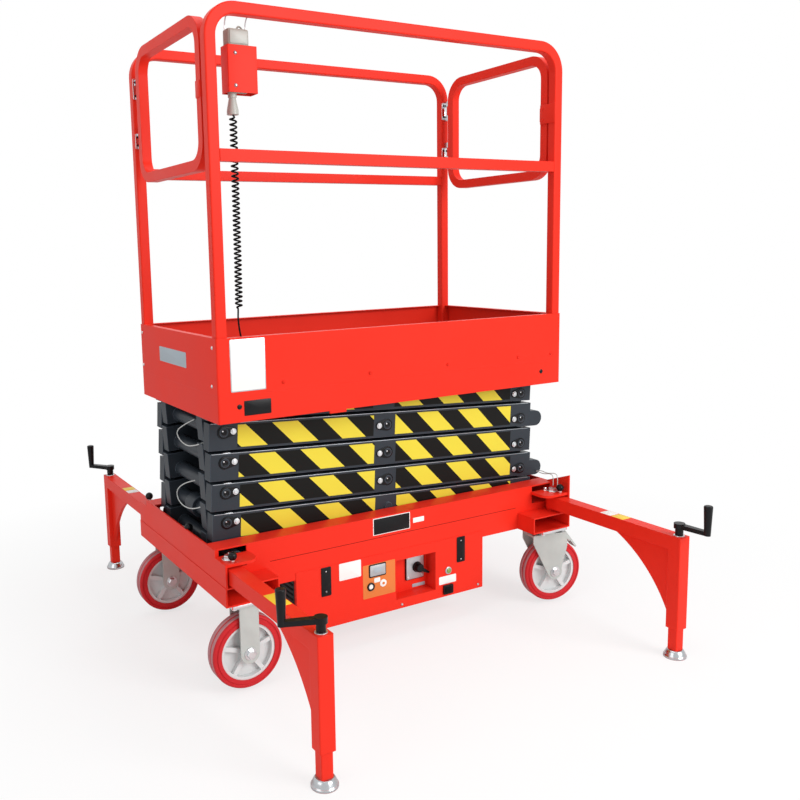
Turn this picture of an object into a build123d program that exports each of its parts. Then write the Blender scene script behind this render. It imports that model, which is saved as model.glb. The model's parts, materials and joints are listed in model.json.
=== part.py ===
from build123d import *

import os
from math import asin, atan2, cos, degrees, radians, sin, sqrt, tan

os.makedirs("parts", exist_ok=True)

# Mobile scissor lift, folded, standing on its four outriggers.
# Millimetres. Origin on the floor below the middle of the chassis, +X along the length towards
# the swivel casters, -Y towards the side with the control panel, +Z up.

# ---------------------------------------------------------------- driving dimensions
# overall
platform_length = 1170.0
platform_width = 600.0
chassis_overhang = 14.0  # of the chassis past the platform, each end
chassis_shift = -5.0  # of the chassis' middle along X
corner = 5.0  # rounding of the platform's upright corners

# scissor stack
stages = 5
pitch = 82.9  # rise of one folded stage
stage_gap = 9.0  # between the arms of two folded stages
end_room = 62.0  # from an end pin to the end of the platform
stack_shift = -13.4  # of the stack's middle along X
arm_width = 38.0
arm_overhang = 42.0  # of an arm past its end pin
pin_shift = 12.0  # end pins sit this far off the arm's centre line
arm_gap = 6.0  # between an inner arm and the outer arm beside it
stack_inset = 94.0  # of the outer arms behind the skirt
pin_radius = 12.5
tube_radius = 21.0  # cross tubes of the inner arms
lug_reach = 50.0  # rounded lugs past the low end of the outer arms of stages 2 and 4
lug_length = 120.0
lug_trim = 24.0  # lower than the arm by this much
roller_radius = 20.0
roller_width = 30.0

# chassis
rail_width = 59.0
channel_height = 63.0
sill_height = 70.0  # lower box section of the rails
end_tube_width = 153.0  # open tubes across both ends, over the casters
end_tube_height = 52.0
end_tube_overhang = 46.0  # past the platform's side
end_plate = 5.0  # upright plates on the end tubes
plate_setback = 1.5  # of the end plates behind the tubes' outer walls
pocket_depth = 94.0  # of the outrigger pockets, from the end of the chassis
ear_height = 37.0  # corners of the right end plate over the rails
plate = 4.0  # wall of rails and end tubes

# casters
wheel_diameter = 200.0
wheel_width = 46.0
wheel_lift = 8.0  # of the tyres over the floor
fork_room = 44.2  # from the top of a tyre to the chassis
caster_inset = 68.0  # rigid axle to the end of the chassis
kingpin_inset = 64.0
caster_trail = 20.0
hub_radius = 77.0
swivel_turn = {"front": -12.0, "rear": 0.0}  # degrees, as the swivel casters stand

# power unit housing
housing_from_left = 239.0
housing_from_right = 299.0
housing_depth = 162.2
housing_inset = 4.0  # behind the rail's outer face

# outriggers
arm_tube = 40.0
outrigger_reach = 486.0  # swing pin to leg
arm_room = 7.0  # between a folded outrigger and the rail
leg_bottom = 85.0
jack_size = 30.0  # square jack legs
foot_radius = 31.0
foot_height = 20.0
crank_reach = 84.0
crank_turn = {
    ("left", "front"): 160.0,
    ("right", "front"): 274.0,
    ("left", "rear"): 126.0,
    ("right", "rear"): 20.0,
}  # degrees from +X, as the cranks stand

# platform
deck_thickness = 5.0
skirt_height = 72.0
toe_board_height = 147.0
sheet = 2.5
rail_height = 953.5  # top of the guardrail over the deck
mid_rail_drop = 350.0  # top of the mid rail under the top rail's top
rail_tube = 30.0
rail_bend = 70.0  # centre line radius of the guardrail's corners
gate_tube = 28.0
gate_bend = 60.0

# hung control and its curly cord
coil_radius = 10.0
lead_radius = 2.2

# clearances
running = 0.3  # pins, rollers and tubes in their seats
free = 5.0  # between moving pieces
tip_clear = 30.0  # the arm tips' room over and under their end pins

# ---------------------------------------------------------------- derived places
half_length = platform_length / 2
half_width = platform_width / 2
chassis_half = half_length + chassis_overhang


def inset(end, distance):
    """X of what lies a distance in from the end of the chassis; end is -1 left, 1 right."""
    return chassis_shift + end * (chassis_half - distance)


arm_height = pitch - stage_gap
lug_height = arm_height - lug_trim
pin_reach = platform_length - 2 * end_room  # between the two end pins of one arm
pin_run = sqrt(pin_reach**2 - pitch**2)
centre_x = stack_shift
pivot_x = centre_x + pin_run / 2  # the fixed pins
roller_x = centre_x - pin_run / 2
body_tilt = degrees(atan2(pitch - 2 * pin_shift, pin_run))
outer_face = half_width - stack_inset
inner_face = outer_face - 2 * arm_width - arm_gap
outer_mid = outer_face - arm_width / 2
inner_mid = inner_face + arm_width / 2

rail_in = outer_face + 7.0
rail_out = rail_in + rail_width
rail_bottom = wheel_diameter + wheel_lift + fork_room
rail_split = rail_bottom + sill_height
rail_top = rail_split + channel_height
channel_floor = rail_split + plate
base_pin_z = channel_floor + roller_radius + running
plate_in = plate_setback + end_plate  # inner face of an end plate, from the end
end_tube_top = rail_bottom + end_tube_height
end_half_width = half_width + end_tube_overhang
roller_mid = rail_out - plate - free - roller_width / 2

top_pin_z = base_pin_z + stages * pitch
deck_under = top_pin_z + tip_clear + free + 0.5
deck_top = deck_under + deck_thickness
seam_z = deck_under - free
skirt_bottom = seam_z - skirt_height
toe_top = seam_z + toe_board_height
guard_top = deck_top + rail_height
mid_top = guard_top - mid_rail_drop
post_x = half_length - sheet - rail_tube / 2
post_y = half_width - sheet - rail_tube / 2

axle_z = wheel_diameter / 2 + wheel_lift
caster_x = inset(-1, caster_inset)
caster_y = half_width
kingpin_x = inset(1, kingpin_inset)

housing_left = inset(-1, housing_from_left)
housing_right = inset(1, housing_from_right)
housing_bottom = rail_bottom - housing_depth

swing_inset = plate_in + free + arm_tube / 2  # swing pin to the end of the chassis
swing_y = rail_out + arm_room + arm_tube / 2
leg_y = swing_y + outrigger_reach
arm_top_z = end_tube_top + free + 2 + arm_tube
arm_mid_z = arm_top_z - arm_tube / 2

SIDES = (("front", -1), ("rear", 1))
ENDS = (("left", -1), ("right", 1))


def level(i):
    """Height of the end pins of level i; level 0 is the chassis, level 5 the platform."""
    return base_pin_z + i * pitch


def save(part, name):
    """Label a finished piece and write it as its own file."""
    part.label = name
    export_step(part, f"parts/{name}.step")


def across(y, x=0.0, z=0.0):
    """Sketch plane square to Y at height y: sketch x is +X, sketch y is +Z, extrudes to -Y."""
    return Plane(origin=(x, y, z), x_dir=(1, 0, 0), z_dir=(0, -1, 0))


def rod(radius, x, z, y_from, y_to, mode=Mode.ADD, bore=0.0):
    """A round bar or tube along Y, inside the current part."""
    with BuildSketch(across(y_from, x, z)) as section:
        Circle(radius)
        if bore:
            Circle(bore, mode=Mode.SUBTRACT)
    extrude(section.sketch, amount=y_from - y_to, mode=mode)


# ---------------------------------------------------------------- scissor arms
def arm_outline(x_low, x_high, i, chamfer_low, chamfer_high, lug):
    """One arm's side view from its low pin on level i-1 to its high pin on level i.

    The low pin lies pin_shift under the centre line and the high pin as far over it.
    """
    way = 1 if x_high > x_low else -1
    mid_x = (x_low + x_high) / 2
    mid_z = level(i) - pitch / 2
    length = pin_run / cos(radians(body_tilt)) + 2 * arm_overhang
    tilt = way * body_tilt
    with BuildSketch(Plane.XY) as outline:
        Rectangle(length, arm_height)
        low_corner = (-way * length / 2, -arm_height / 2)
        high_corner = (way * length / 2, arm_height / 2)
        for wanted, corner in ((chamfer_low, low_corner), (chamfer_high, high_corner)):
            if wanted:
                point = outline.vertices().sort_by_distance(corner)[0]
                chamfer(point, arm_overhang - tip_clear / 2 - 2)
        if lug:
            with Locations((-way * (length / 2 + lug_reach - lug_length / 2), -pin_shift - 3)):
                SlotOverall(lug_length, lug_height)
    return outline.sketch.rotate(Axis.Z, tilt).translate((mid_x, mid_z, 0))


def stand_up(flat, y):
    """Turn a sketch drawn in XY into the XZ plane at y."""
    return flat.rotate(Axis.X, 90).translate((0, y, 0))


def outer_arms(i, gap_at_low_pin=0.0, rollers=False):
    """Outer pair of one stage: high pin at the left, low pin at the right, joined by its pins."""
    flat = arm_outline(pivot_x, roller_x, i, i == 1, i == stages, i in (2, 4))
    with BuildPart() as pair:
        for y in (-outer_face, outer_face - arm_width):
            extrude(stand_up(flat, y), amount=arm_width, dir=(0, 1, 0))
        pins = ((roller_x, level(i)), (pivot_x, level(i - 1)))
        for x, z in pins:
            rod(pin_radius, x, z, outer_face + 4, -outer_face - 4)
        if gap_at_low_pin:
            with BuildSketch(across(gap_at_low_pin, pivot_x, level(i - 1))) as gap:
                Circle(pin_radius + 1)
            extrude(gap.sketch, amount=2 * gap_at_low_pin, mode=Mode.SUBTRACT)
        for side in (-1, 1):
            rod(pin_radius, centre_x, level(i) - pitch / 2, side * (outer_face + 4), side * inner_face)
            washers = [(centre_x, level(i) - pitch / 2)]
            if i < stages:
                washers.append((roller_x, level(i)))
            if i > 1:
                washers.append((pivot_x, level(i - 1)))
            for x, z in washers:
                near = side * (outer_face - arm_width)
                rod(tube_radius - 1, x, z, near, near - side * (arm_gap - running))
            if rollers:
                rod(pin_radius, roller_x, level(i), side * (roller_mid + roller_width / 2), side * outer_face)
                outer = side * (roller_mid + roller_width / 2)
                rod(roller_radius, roller_x, level(i), outer, outer - side * roller_width)
    return pair


def inner_arms(i, split_tube=0.0, rollers=False):
    """Inner pair of one stage: low pin at the left, high pin at the right, joined by cross tubes."""
    flat = arm_outline(roller_x, pivot_x, i, i == 1, i == stages, False)
    fit = pin_radius + running
    with BuildPart() as pair:
        for y in (-inner_face - arm_width, inner_face):
            extrude(stand_up(flat, y), amount=arm_width, dir=(0, 1, 0))
        ends = ((roller_x, level(i - 1)), (pivot_x, level(i)))
        for x, z in ends:
            rod(tube_radius, x, z, inner_face, -inner_face)
        if split_tube:
            rod(tube_radius + 1, pivot_x, level(i), split_tube, -split_tube, Mode.SUBTRACT)
        bores = [(centre_x, level(i) - pitch / 2), (pivot_x, level(i))]
        if not rollers:
            bores.append((roller_x, level(i - 1)))
        for x, z in bores:
            rod(fit, x, z, inner_face + arm_width + 1, -inner_face - arm_width - 1, Mode.SUBTRACT)
        if rollers:
            for side in (-1, 1):
                outer = side * (roller_mid + roller_width / 2)
                rod(pin_radius, roller_x, level(i - 1), outer, side * inner_face)
                rod(roller_radius, roller_x, level(i - 1), outer, outer - side * roller_width)
    return pair


ram_low = 1  # level of the barrel's pin, at the roller end
ram_high = 3  # level of the rod's eye, at the fixed end
ram_gap = 36.0  # half width kept free for the eye, in the cross tube and pin of its level

for i in range(1, stages + 1):
    outer = outer_arms(i, gap_at_low_pin=ram_gap if i == ram_high + 1 else 0.0, rollers=i == stages)
    save(outer.part, f"outer_arms_{i}")
    inner = inner_arms(i, split_tube=ram_gap if i == ram_high else 0.0, rollers=i == 1)
    save(inner.part, f"inner_arms_{i}")

# ---------------------------------------------------------------- lifting cylinder
ram_rise = (ram_high - ram_low) * pitch
ram_run = pin_run
ram_angle = degrees(atan2(ram_rise, ram_run))
ram_length = sqrt(ram_rise**2 + ram_run**2)
barrel_radius = 33.0
barrel_end = ram_length - 75.0
rod_radius = 20.0
eye_half = 28.0
eye_radius = tube_radius + running + 10

ram_plane = Plane(
    origin=(roller_x, 0, level(ram_low)),
    x_dir=(0, 1, 0),
    z_dir=(cos(radians(ram_angle)), 0, sin(radians(ram_angle))),
)

with BuildPart() as barrel:
    with BuildSketch(ram_plane.offset(eye_radius - 6)) as bore_end:
        Circle(barrel_radius)
    extrude(bore_end.sketch, amount=barrel_end - eye_radius + 6)
    fillet(barrel.edges().filter_by(GeomType.CIRCLE), 3)
    rod(eye_radius, roller_x, level(ram_low), eye_half, -eye_half)
    rod(tube_radius + running, roller_x, level(ram_low), eye_half + 10, -eye_half - 10, Mode.SUBTRACT)
    with BuildSketch(ram_plane.offset(barrel_end - 640)) as rod_bore:
        Circle(rod_radius + running)
    extrude(rod_bore.sketch, amount=650, mode=Mode.SUBTRACT)
save(barrel.part, "cylinder_barrel")

with BuildPart() as piston_rod:
    with BuildSketch(ram_plane.offset(barrel_end - 630)) as rod_end:
        Circle(rod_radius)
    extrude(rod_end.sketch, amount=ram_length - barrel_end + 630 - 20)
    rod(28, pivot_x, level(ram_high), eye_half, -eye_half)
    rod(pin_radius, pivot_x, level(ram_high), ram_gap - 2, 2 - ram_gap)
save(piston_rod.part, "cylinder_rod")

# ---------------------------------------------------------------- chassis rails
for side_name, side in SIDES:
    # C-channel, open inwards, in which the lower rollers run, over a closed box section
    with BuildPart() as rail:
        with BuildSketch(Plane.YZ.offset(inset(-1, plate_in))) as channel:
            with Locations((side * (rail_in + rail_out) / 2, (rail_split + rail_top) / 2)):
                Rectangle(rail_width, channel_height)
            with Locations((side * ((rail_in + rail_out) / 2 - plate), (rail_split + rail_top) / 2)):
                Rectangle(rail_width, channel_height - 2 * plate, mode=Mode.SUBTRACT)
        extrude(amount=inset(1, plate_in) - inset(-1, plate_in))
        # the outer web is cut away at the outrigger pockets
        for end in (-1, 1):
            cut = pocket_depth - plate_in - 2 * plate
            with Locations((inset(end, pocket_depth - cut / 2), side * rail_out, (rail_split + rail_top) / 2)):
                Box(cut, 3 * plate, channel_height - 2 * plate, mode=Mode.SUBTRACT)
        # lower box section between the end tubes, and packers over the end tubes
        with BuildSketch(Plane.YZ.offset(inset(-1, end_tube_width))) as sill:
            with Locations((side * (rail_in + rail_out) / 2, (rail_bottom + rail_split) / 2)):
                Rectangle(rail_width, sill_height)
                Rectangle(rail_width - 2 * plate, sill_height - 2 * plate, mode=Mode.SUBTRACT)
        extrude(amount=2 * (chassis_half - end_tube_width))
        for end in (-1, 1):
            packer_x = inset(end, (plate_in + end_tube_width) / 2)
            with Locations((packer_x, side * (rail_in + rail_out) / 2, (end_tube_top + rail_split) / 2)):
                Box(end_tube_width - plate_in, rail_width, rail_split - end_tube_top)
    save(rail.part, f"chassis_rail_{side_name}")

# ---------------------------------------------------------------- end beams with outrigger pockets
shoulder_y = rail_out + 5.0
ear_y = rail_in + 32.0
bracket_z = arm_top_z + 6.0  # underside of the pocket's top plate
bracket_thick = 8.0
bracket_round = 30.0
swing_pin = 8.0

for end_name, end in ENDS:
    swing_x = inset(end, swing_inset)
    with BuildPart() as beam:
        # open tube across the end
        with BuildSketch(Plane.XZ.offset(-end_half_width)) as tube:
            with Locations((inset(end, end_tube_width / 2), (rail_bottom + end_tube_top) / 2)):
                Rectangle(end_tube_width, end_tube_height)
                Rectangle(end_tube_width - 2 * plate, end_tube_height - 2 * plate, mode=Mode.SUBTRACT)
        extrude(amount=2 * end_half_width)
        # end plate: stepped shoulders at the left, raised ears at the right
        with BuildSketch(Plane.YZ.offset(inset(end, plate_in))) as face:
            with Locations((0, (end_tube_top + rail_top) / 2)):
                Rectangle(2 * (shoulder_y if end < 0 else ear_y), rail_top - end_tube_top)
            if end < 0:
                with Locations((0, (end_tube_top + bracket_z + bracket_thick) / 2)):
                    Rectangle(2 * end_half_width, bracket_z + bracket_thick - end_tube_top)
            for side in (-1, 1) if end > 0 else ():
                with BuildLine():
                    Polyline(
                        (side * ear_y, end_tube_top),
                        (side * ear_y, rail_top),
                        (side * end_half_width, rail_top + ear_height),
                        (side * end_half_width, end_tube_top),
                        close=True,
                    )
                make_face()
        extrude(amount=end * end_plate)
        for side in (-1, 1):
            # top plate of the outrigger pocket, welded to the rail and the end plate
            with BuildSketch(Plane.XY.offset(bracket_z)) as top_plate:
                with Locations((inset(end, (pocket_depth + 5 + plate_in) / 2), side * (rail_out + end_half_width - 4) / 2)):
                    Rectangle(pocket_depth + 5 - plate_in, end_half_width - 4 - rail_out)
                free_corner = (inset(end, pocket_depth + 5), side * (end_half_width - 4))
                fillet(top_plate.vertices().sort_by_distance(free_corner)[0], bracket_round)
            extrude(amount=bracket_thick)
            # swing pin with its head, and the two washers that carry the arm
            with BuildSketch(Plane.XY.offset(end_tube_top - plate)) as pin:
                with Locations((swing_x, side * swing_y)):
                    Circle(swing_pin)
            extrude(amount=bracket_z + bracket_thick + 9 - end_tube_top + plate)
            with BuildSketch(Plane.XY.offset(bracket_z + bracket_thick)) as head:
                with Locations((swing_x, side * swing_y)):
                    RegularPolygon(13, 6)
            extrude(amount=8)
            for low, high in ((end_tube_top, arm_top_z - arm_tube - running), (arm_top_z + running, bracket_z)):
                with BuildSketch(Plane.XY.offset(low)) as washer:
                    with Locations((swing_x, side * swing_y)):
                        Circle(17)
                extrude(amount=high - low)
        # caster plates
        for side in (-1, 1):
            with Locations((caster_x if end < 0 else kingpin_x, side * caster_y, rail_bottom - 4)):
                Box(104, 2 * end_tube_overhang, 8)
    save(beam.part, f"end_beam_{end_name}")

# ---------------------------------------------------------------- cross members and fixed pivots
cross_top = base_pin_z - tip_clear - 9
cross_size = 50.0
cross_x = inset(1, end_tube_width + cross_size / 2)  # against the end tube
lug_y = inner_face + arm_width / 2
lug_wall = 14.0

with BuildPart() as base_pivots:
    with Locations((cross_x, 0, cross_top - cross_size / 2)):
        Box(cross_size, 2 * rail_in, cross_size)
    for side in (-1, 1):
        with BuildSketch(across(side * lug_y + lug_wall / 2)) as ear:
            with BuildLine():
                Polyline(
                    (cross_x - cross_size / 2, cross_top - 30),
                    (cross_x + cross_size / 2, cross_top - 30),
                    (cross_x + cross_size / 2, cross_top),
                    (pivot_x + 21, base_pin_z - 22),
                    (pivot_x + 21, base_pin_z),
                    (pivot_x - 21, base_pin_z + 8),
                    (cross_x - cross_size / 2, cross_top + 14),
                    close=True,
                )
            make_face()
            with Locations((pivot_x, base_pin_z)):
                Circle(23)
                Circle(pin_radius + running, mode=Mode.SUBTRACT)
        extrude(amount=lug_wall)
save(base_pivots.part, "base_pivot_beam")

with BuildPart() as floor_beam:
    with Locations((inset(-1, end_tube_width + 31), 0, rail_bottom + 20)):
        Box(cross_size, 2 * rail_in, 40)
save(floor_beam.part, "chassis_cross_beam")

# ---------------------------------------------------------------- power unit housing
recess_left = housing_right - 328.0
recess_right = recess_left + 145.0
recess_bottom = housing_bottom + 30.0
recess_top = rail_bottom - 12.2
recess_depth = 42.0
housing_face = rail_out - housing_inset

with BuildPart() as housing:
    with Locations(((housing_left + housing_right) / 2, 0, (housing_bottom + rail_bottom) / 2)):
        Box(housing_right - housing_left, 2 * housing_face, rail_bottom - housing_bottom)
    fillet(housing.edges().filter_by(Axis.X).group_by(Axis.Z)[0], 4)
    with Locations(((recess_left + recess_right) / 2, -housing_face + recess_depth / 2, (recess_bottom + recess_top) / 2)):
        Box(recess_right - recess_left, recess_depth, recess_top - recess_bottom, mode=Mode.SUBTRACT)
save(housing.part, "power_unit_housing")

back = -housing_face + recess_depth
switch_x = recess_left + 81.0
switch_z = recess_top - 54.0
with BuildPart() as switch:
    with Locations((switch_x, back - 4, switch_z)):
        Box(56, 8, 56)
    rod(15, switch_x, switch_z, back - 8, back - 24)
    with BuildSketch(across(back - 16, switch_x, switch_z)) as lever:
        with Locations((14, -8)):
            SlotOverall(44, 13, rotation=-30)
    extrude(amount=8)
save(switch.part, "rotary_switch")

# ---------------------------------------------------------------- casters
fork_inside = wheel_width / 2 + 6
fork_plate = 5.0
axle_radius = 8.0
fork_top = rail_bottom - 8


def hub_and_tyre(x, y, name, upright=Axis.Z, turn_by=0.0):
    """One wheel: spoked hub with its bore, and the tyre bonded round it, turned about an upright axis."""
    with BuildPart() as hub:
        rod(hub_radius, x, axle_z, y + wheel_width / 2 - 3, y - wheel_width / 2 + 3)
        for side in (-1, 1):
            near = y + side * (wheel_width / 2 - 3)
            rod(hub_radius - 8, x, axle_z, near, near - side * 15, Mode.SUBTRACT)
            rod(20, x, axle_z, near + side * 3, near - side * 15)
        for turn in range(5):
            with BuildSketch(across(y + 18, x, axle_z)) as spoke:
                with PolarLocations(hub_radius / 2 + 5, 1, start_angle=90 + turn * 72):
                    Rectangle(hub_radius - 22, 12)
            extrude(amount=36)
        rod(axle_radius + running, x, axle_z, y + wheel_width, y - wheel_width, Mode.SUBTRACT)
    save(hub.part.rotate(upright, turn_by), f"wheel_hub_{name}")
    with BuildPart() as tyre:
        with BuildSketch(Plane(origin=(x, y, axle_z), x_dir=(1, 0, 0), z_dir=(0, 0, 1))) as half:
            with Locations(((hub_radius + wheel_diameter / 2) / 2, 0)):
                Rectangle(wheel_diameter / 2 - hub_radius, wheel_width)
            fillet(half.vertices().group_by(Axis.X)[-1], 7)
            for side in (-1, 1):
                with Locations((wheel_diameter / 2 - 10, side * wheel_width / 2)):
                    Circle(2.5, mode=Mode.SUBTRACT)
        revolve(axis=Axis((x, y, axle_z), (0, 1, 0)))
    save(tyre.part.rotate(upright, turn_by), f"wheel_tyre_{name}")


for side_name, side in SIDES:
    y = side * caster_y
    # rigid fork at the left end: two straight plates under a crown
    with BuildPart() as fork:
        for near in (-1, 1):
            with BuildSketch(across(y + near * fork_inside + (fork_plate if near > 0 else 0))) as leg:
                with Locations((caster_x, (axle_z + fork_top) / 2)):
                    Rectangle(54, fork_top - axle_z)
                with Locations((caster_x, axle_z)):
                    Circle(27)
            extrude(amount=fork_plate)
        with Locations((caster_x, y, fork_top - 4)):
            Box(90, 2 * (fork_inside + fork_plate), 8)
        rod(axle_radius, caster_x, axle_z, y + fork_inside + fork_plate + 8, y - fork_inside - fork_plate - 8)
    save(fork.part, f"rigid_fork_{side_name}")
    hub_and_tyre(caster_x, y, f"left_{side_name}")

    # swivel fork at the right end: raked plates under a turning head
    axle_x = kingpin_x + caster_trail
    upright = Axis((kingpin_x, y, 0), (0, 0, 1))
    head_z = fork_top - 8
    with BuildPart() as fork:
        for near in (-1, 1):
            with BuildSketch(across(y + near * fork_inside + (fork_plate if near > 0 else 0))) as leg:
                with BuildLine():
                    Polyline(
                        (kingpin_x - 60, head_z),
                        (kingpin_x + 61, head_z),
                        (kingpin_x + 64, head_z - 45),
                        (axle_x + 24, axle_z + 10),
                        (axle_x + 10, axle_z - 22),
                        (axle_x - 22, axle_z - 12),
                        (kingpin_x - 60, head_z - 26),
                        close=True,
                    )
                make_face()
                with Locations((axle_x, axle_z)):
                    Circle(25)
            extrude(amount=fork_plate)
        with Locations((kingpin_x, y, head_z - 4)):
            Box(120, 2 * (fork_inside + fork_plate), 8)
        with BuildSketch(Plane.XY.offset(head_z)) as race:
            with Locations((kingpin_x, y)):
                Circle(38)
        extrude(amount=8 - running)
        rod(axle_radius, axle_x, axle_z, y + fork_inside + fork_plate + 8, y - fork_inside - fork_plate - 8)
        # brake pedal, over the tread
        with BuildSketch(across(y + 17)) as pedal:
            with BuildLine():
                Polyline(
                    (kingpin_x + 56, head_z),
                    (kingpin_x + 66, head_z),
                    (kingpin_x + 110, head_z - 58),
                    (kingpin_x + 106, head_z - 62),
                    (kingpin_x + 62, head_z - 8),
                    (kingpin_x + 56, head_z - 8),
                    close=True,
                )
            make_face()
        extrude(amount=34)
    save(fork.part.rotate(upright, swivel_turn[side_name]), f"swivel_fork_{side_name}")
    hub_and_tyre(axle_x, y, f"right_{side_name}", upright, swivel_turn[side_name])

# ---------------------------------------------------------------- outriggers
gusset_drop = 205.0
gusset_reach = 209.0
tube_wall = 3.0

for end_name, end in ENDS:
    for side_name, side in SIDES:
        x = inset(end, swing_inset)
        root = side * swing_y
        leg = side * leg_y
        with BuildPart() as outrigger:
            # arm tube from its rounded root to the leg
            with BuildSketch(Plane.XY.offset(arm_top_z - arm_tube)) as arm:
                with Locations((x, (root + leg) / 2)):
                    Rectangle(arm_tube, abs(leg - root))
                with Locations((x, root)):
                    Circle(arm_tube / 2)
            extrude(amount=arm_tube)
            with Locations((x, (root + leg) / 2 + side * 12, arm_mid_z)):
                Box(arm_tube - 2 * tube_wall, abs(leg - root) - 40, arm_tube - 2 * tube_wall, mode=Mode.SUBTRACT)
            # leg tube
            with BuildSketch(Plane.XY.offset(leg_bottom)) as leg_tube:
                with Locations((x, leg)):
                    RectangleRounded(arm_tube, arm_tube, 3)
            extrude(amount=arm_top_z - leg_bottom)
            # curved gusset under the arm
            with BuildSketch(Plane.YZ.offset(x - 5)) as web:
                inner = leg - side * arm_tube / 2
                under = arm_top_z - arm_tube
                with BuildLine():
                    Line((inner, under), (inner - side * gusset_reach, under))
                    ThreePointArc(
                        (inner - side * gusset_reach, under),
                        (inner - side * gusset_reach * 0.38, under - gusset_drop * 0.43),
                        (inner, under - gusset_drop),
                    )
                    Line((inner, under - gusset_drop), (inner, under))
                make_face()
            extrude(amount=10)
            with BuildSketch(Plane.XY.offset(leg_bottom)) as jack_bore:
                with Locations((x, leg)):
                    Rectangle(jack_size + 2 * running, jack_size + 2 * running)
            extrude(amount=arm_top_z - leg_bottom - 6, mode=Mode.SUBTRACT)
            with BuildSketch(Plane.XY.offset(arm_top_z - arm_tube)) as swing_bore:
                with Locations((x, root)):
                    Circle(swing_pin + running)
            extrude(amount=arm_tube, mode=Mode.SUBTRACT)
        save(outrigger.part, f"outrigger_{end_name}_{side_name}")

        with BuildPart() as jack:
            with BuildSketch(Plane.XY.offset(foot_height - 4)) as stem:
                with Locations((x, leg)):
                    RectangleRounded(jack_size, jack_size, 3)
            extrude(amount=220)
            with BuildSketch(Plane.XY) as pad:
                with Locations((x, leg)):
                    Circle(foot_radius)
            extrude(amount=5)
            with BuildSketch(Plane.XY.offset(5)) as dome:
                with Locations((x, leg)):
                    Circle(foot_radius)
            with BuildSketch(Plane.XY.offset(foot_height)) as neck:
                with Locations((x, leg)):
                    Circle(jack_size / 2 + 5)
            loft([dome.sketch, neck.sketch])
        save(jack.part, f"jack_leg_{end_name}_{side_name}")

        # crank: boss, tapering bar and flared grip
        towards = crank_turn[end_name, side_name]
        grip_x = x + crank_reach * cos(radians(towards))
        grip_y = leg + crank_reach * sin(radians(towards))
        bar_z = arm_top_z + 22
        with BuildPart() as crank:
            with BuildSketch(Plane.XY.offset(arm_top_z)) as boss:
                with Locations((x, leg)):
                    Circle(11)
            extrude(amount=22)
            with BuildSketch(Plane.XY.offset(bar_z)) as head:
                with Locations((x, leg)):
                    Circle(15)
            extrude(amount=14)
            with BuildSketch(Plane(origin=(x, leg, bar_z), x_dir=(grip_x - x, grip_y - leg, 0), z_dir=(0, 0, 1))) as bar:
                with BuildLine():
                    Polyline((0, -10), (crank_reach, -7.5), (crank_reach, 7.5), (0, 10), close=True)
                make_face()
            extrude(amount=12)
            with BuildSketch(Plane.XY.offset(bar_z)) as low:
                with Locations((grip_x, grip_y)):
                    Circle(8.5)
            with BuildSketch(Plane.XY.offset(bar_z + 83)) as high:
                with Locations((grip_x, grip_y)):
                    Circle(12)
            loft([low.sketch, high.sketch])
            fillet(crank.faces().sort_by(Axis.Z)[-1].edges(), 4)
        save(crank.part, f"crank_{end_name}_{side_name}")

# ---------------------------------------------------------------- platform frame
track_top = top_pin_z - roller_radius - running
track_in = roller_mid - roller_width / 2
track_out = rail_out
bar_in = outer_face + free
bar_out = bar_in + 15.0
bar_bottom = top_pin_z + pin_radius + free
ledge = 12.0
ledge_width = 20.0
lug_thick = 25.0
track_right = roller_x + 345.0

with BuildPart() as frame:
    # skirt with its folded bottom lip
    with BuildSketch(Plane.XY.offset(skirt_bottom)) as skirt:
        RectangleRounded(platform_length, platform_width, corner)
        RectangleRounded(platform_length - 2 * sheet, platform_width - 2 * sheet, corner - sheet, mode=Mode.SUBTRACT)
    extrude(amount=skirt_height)
    with BuildSketch(Plane.XY.offset(skirt_bottom)) as lip:
        RectangleRounded(platform_length, platform_width, corner)
        Rectangle(platform_length - 2 * sheet, platform_width - 50, mode=Mode.SUBTRACT)
    extrude(amount=sheet)
    # perimeter bar that carries the deck
    with BuildSketch(Plane.XY.offset(deck_under - ledge)) as perimeter:
        RectangleRounded(platform_length - 2 * sheet, platform_width - 2 * sheet, corner - sheet)
        Rectangle(
            platform_length - 2 * sheet - 2 * ledge_width,
            platform_width - 2 * sheet - 2 * ledge_width,
            mode=Mode.SUBTRACT,
        )
    extrude(amount=ledge)
    # long bars and cross bars
    for side in (-1, 1):
        with Locations((0, side * (bar_in + bar_out) / 2, (bar_bottom + deck_under) / 2)):
            Box(platform_length - 2 * sheet - 2 * ledge_width, bar_out - bar_in, deck_under - bar_bottom)
    for x in (-190, 190):
        with Locations((x, 0, deck_under - 6)):
            Box(30, platform_width - 2 * sheet - 2 * ledge_width, 12)
    # lugs and pin for the top of the stack
    for side in (-1, 1):
        near = side * (outer_face - arm_width + 2)
        with BuildSketch(across(max(near, near + side * lug_thick), pivot_x, top_pin_z)) as lug:
            Circle(25)
            with Locations((0, (deck_under - top_pin_z) / 2)):
                Rectangle(50, deck_under - top_pin_z)
        extrude(amount=lug_thick)
        with Locations((pivot_x, side * (outer_face - arm_width + 2 + bar_in) / 2, deck_under - ledge / 2)):
            Box(50, bar_in - outer_face + arm_width - 2, ledge)
    rod(pin_radius, pivot_x, top_pin_z, inner_face + arm_width + 8 + lug_thick, -inner_face - arm_width - 8 - lug_thick)
save(frame.part, "platform_frame")

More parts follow.
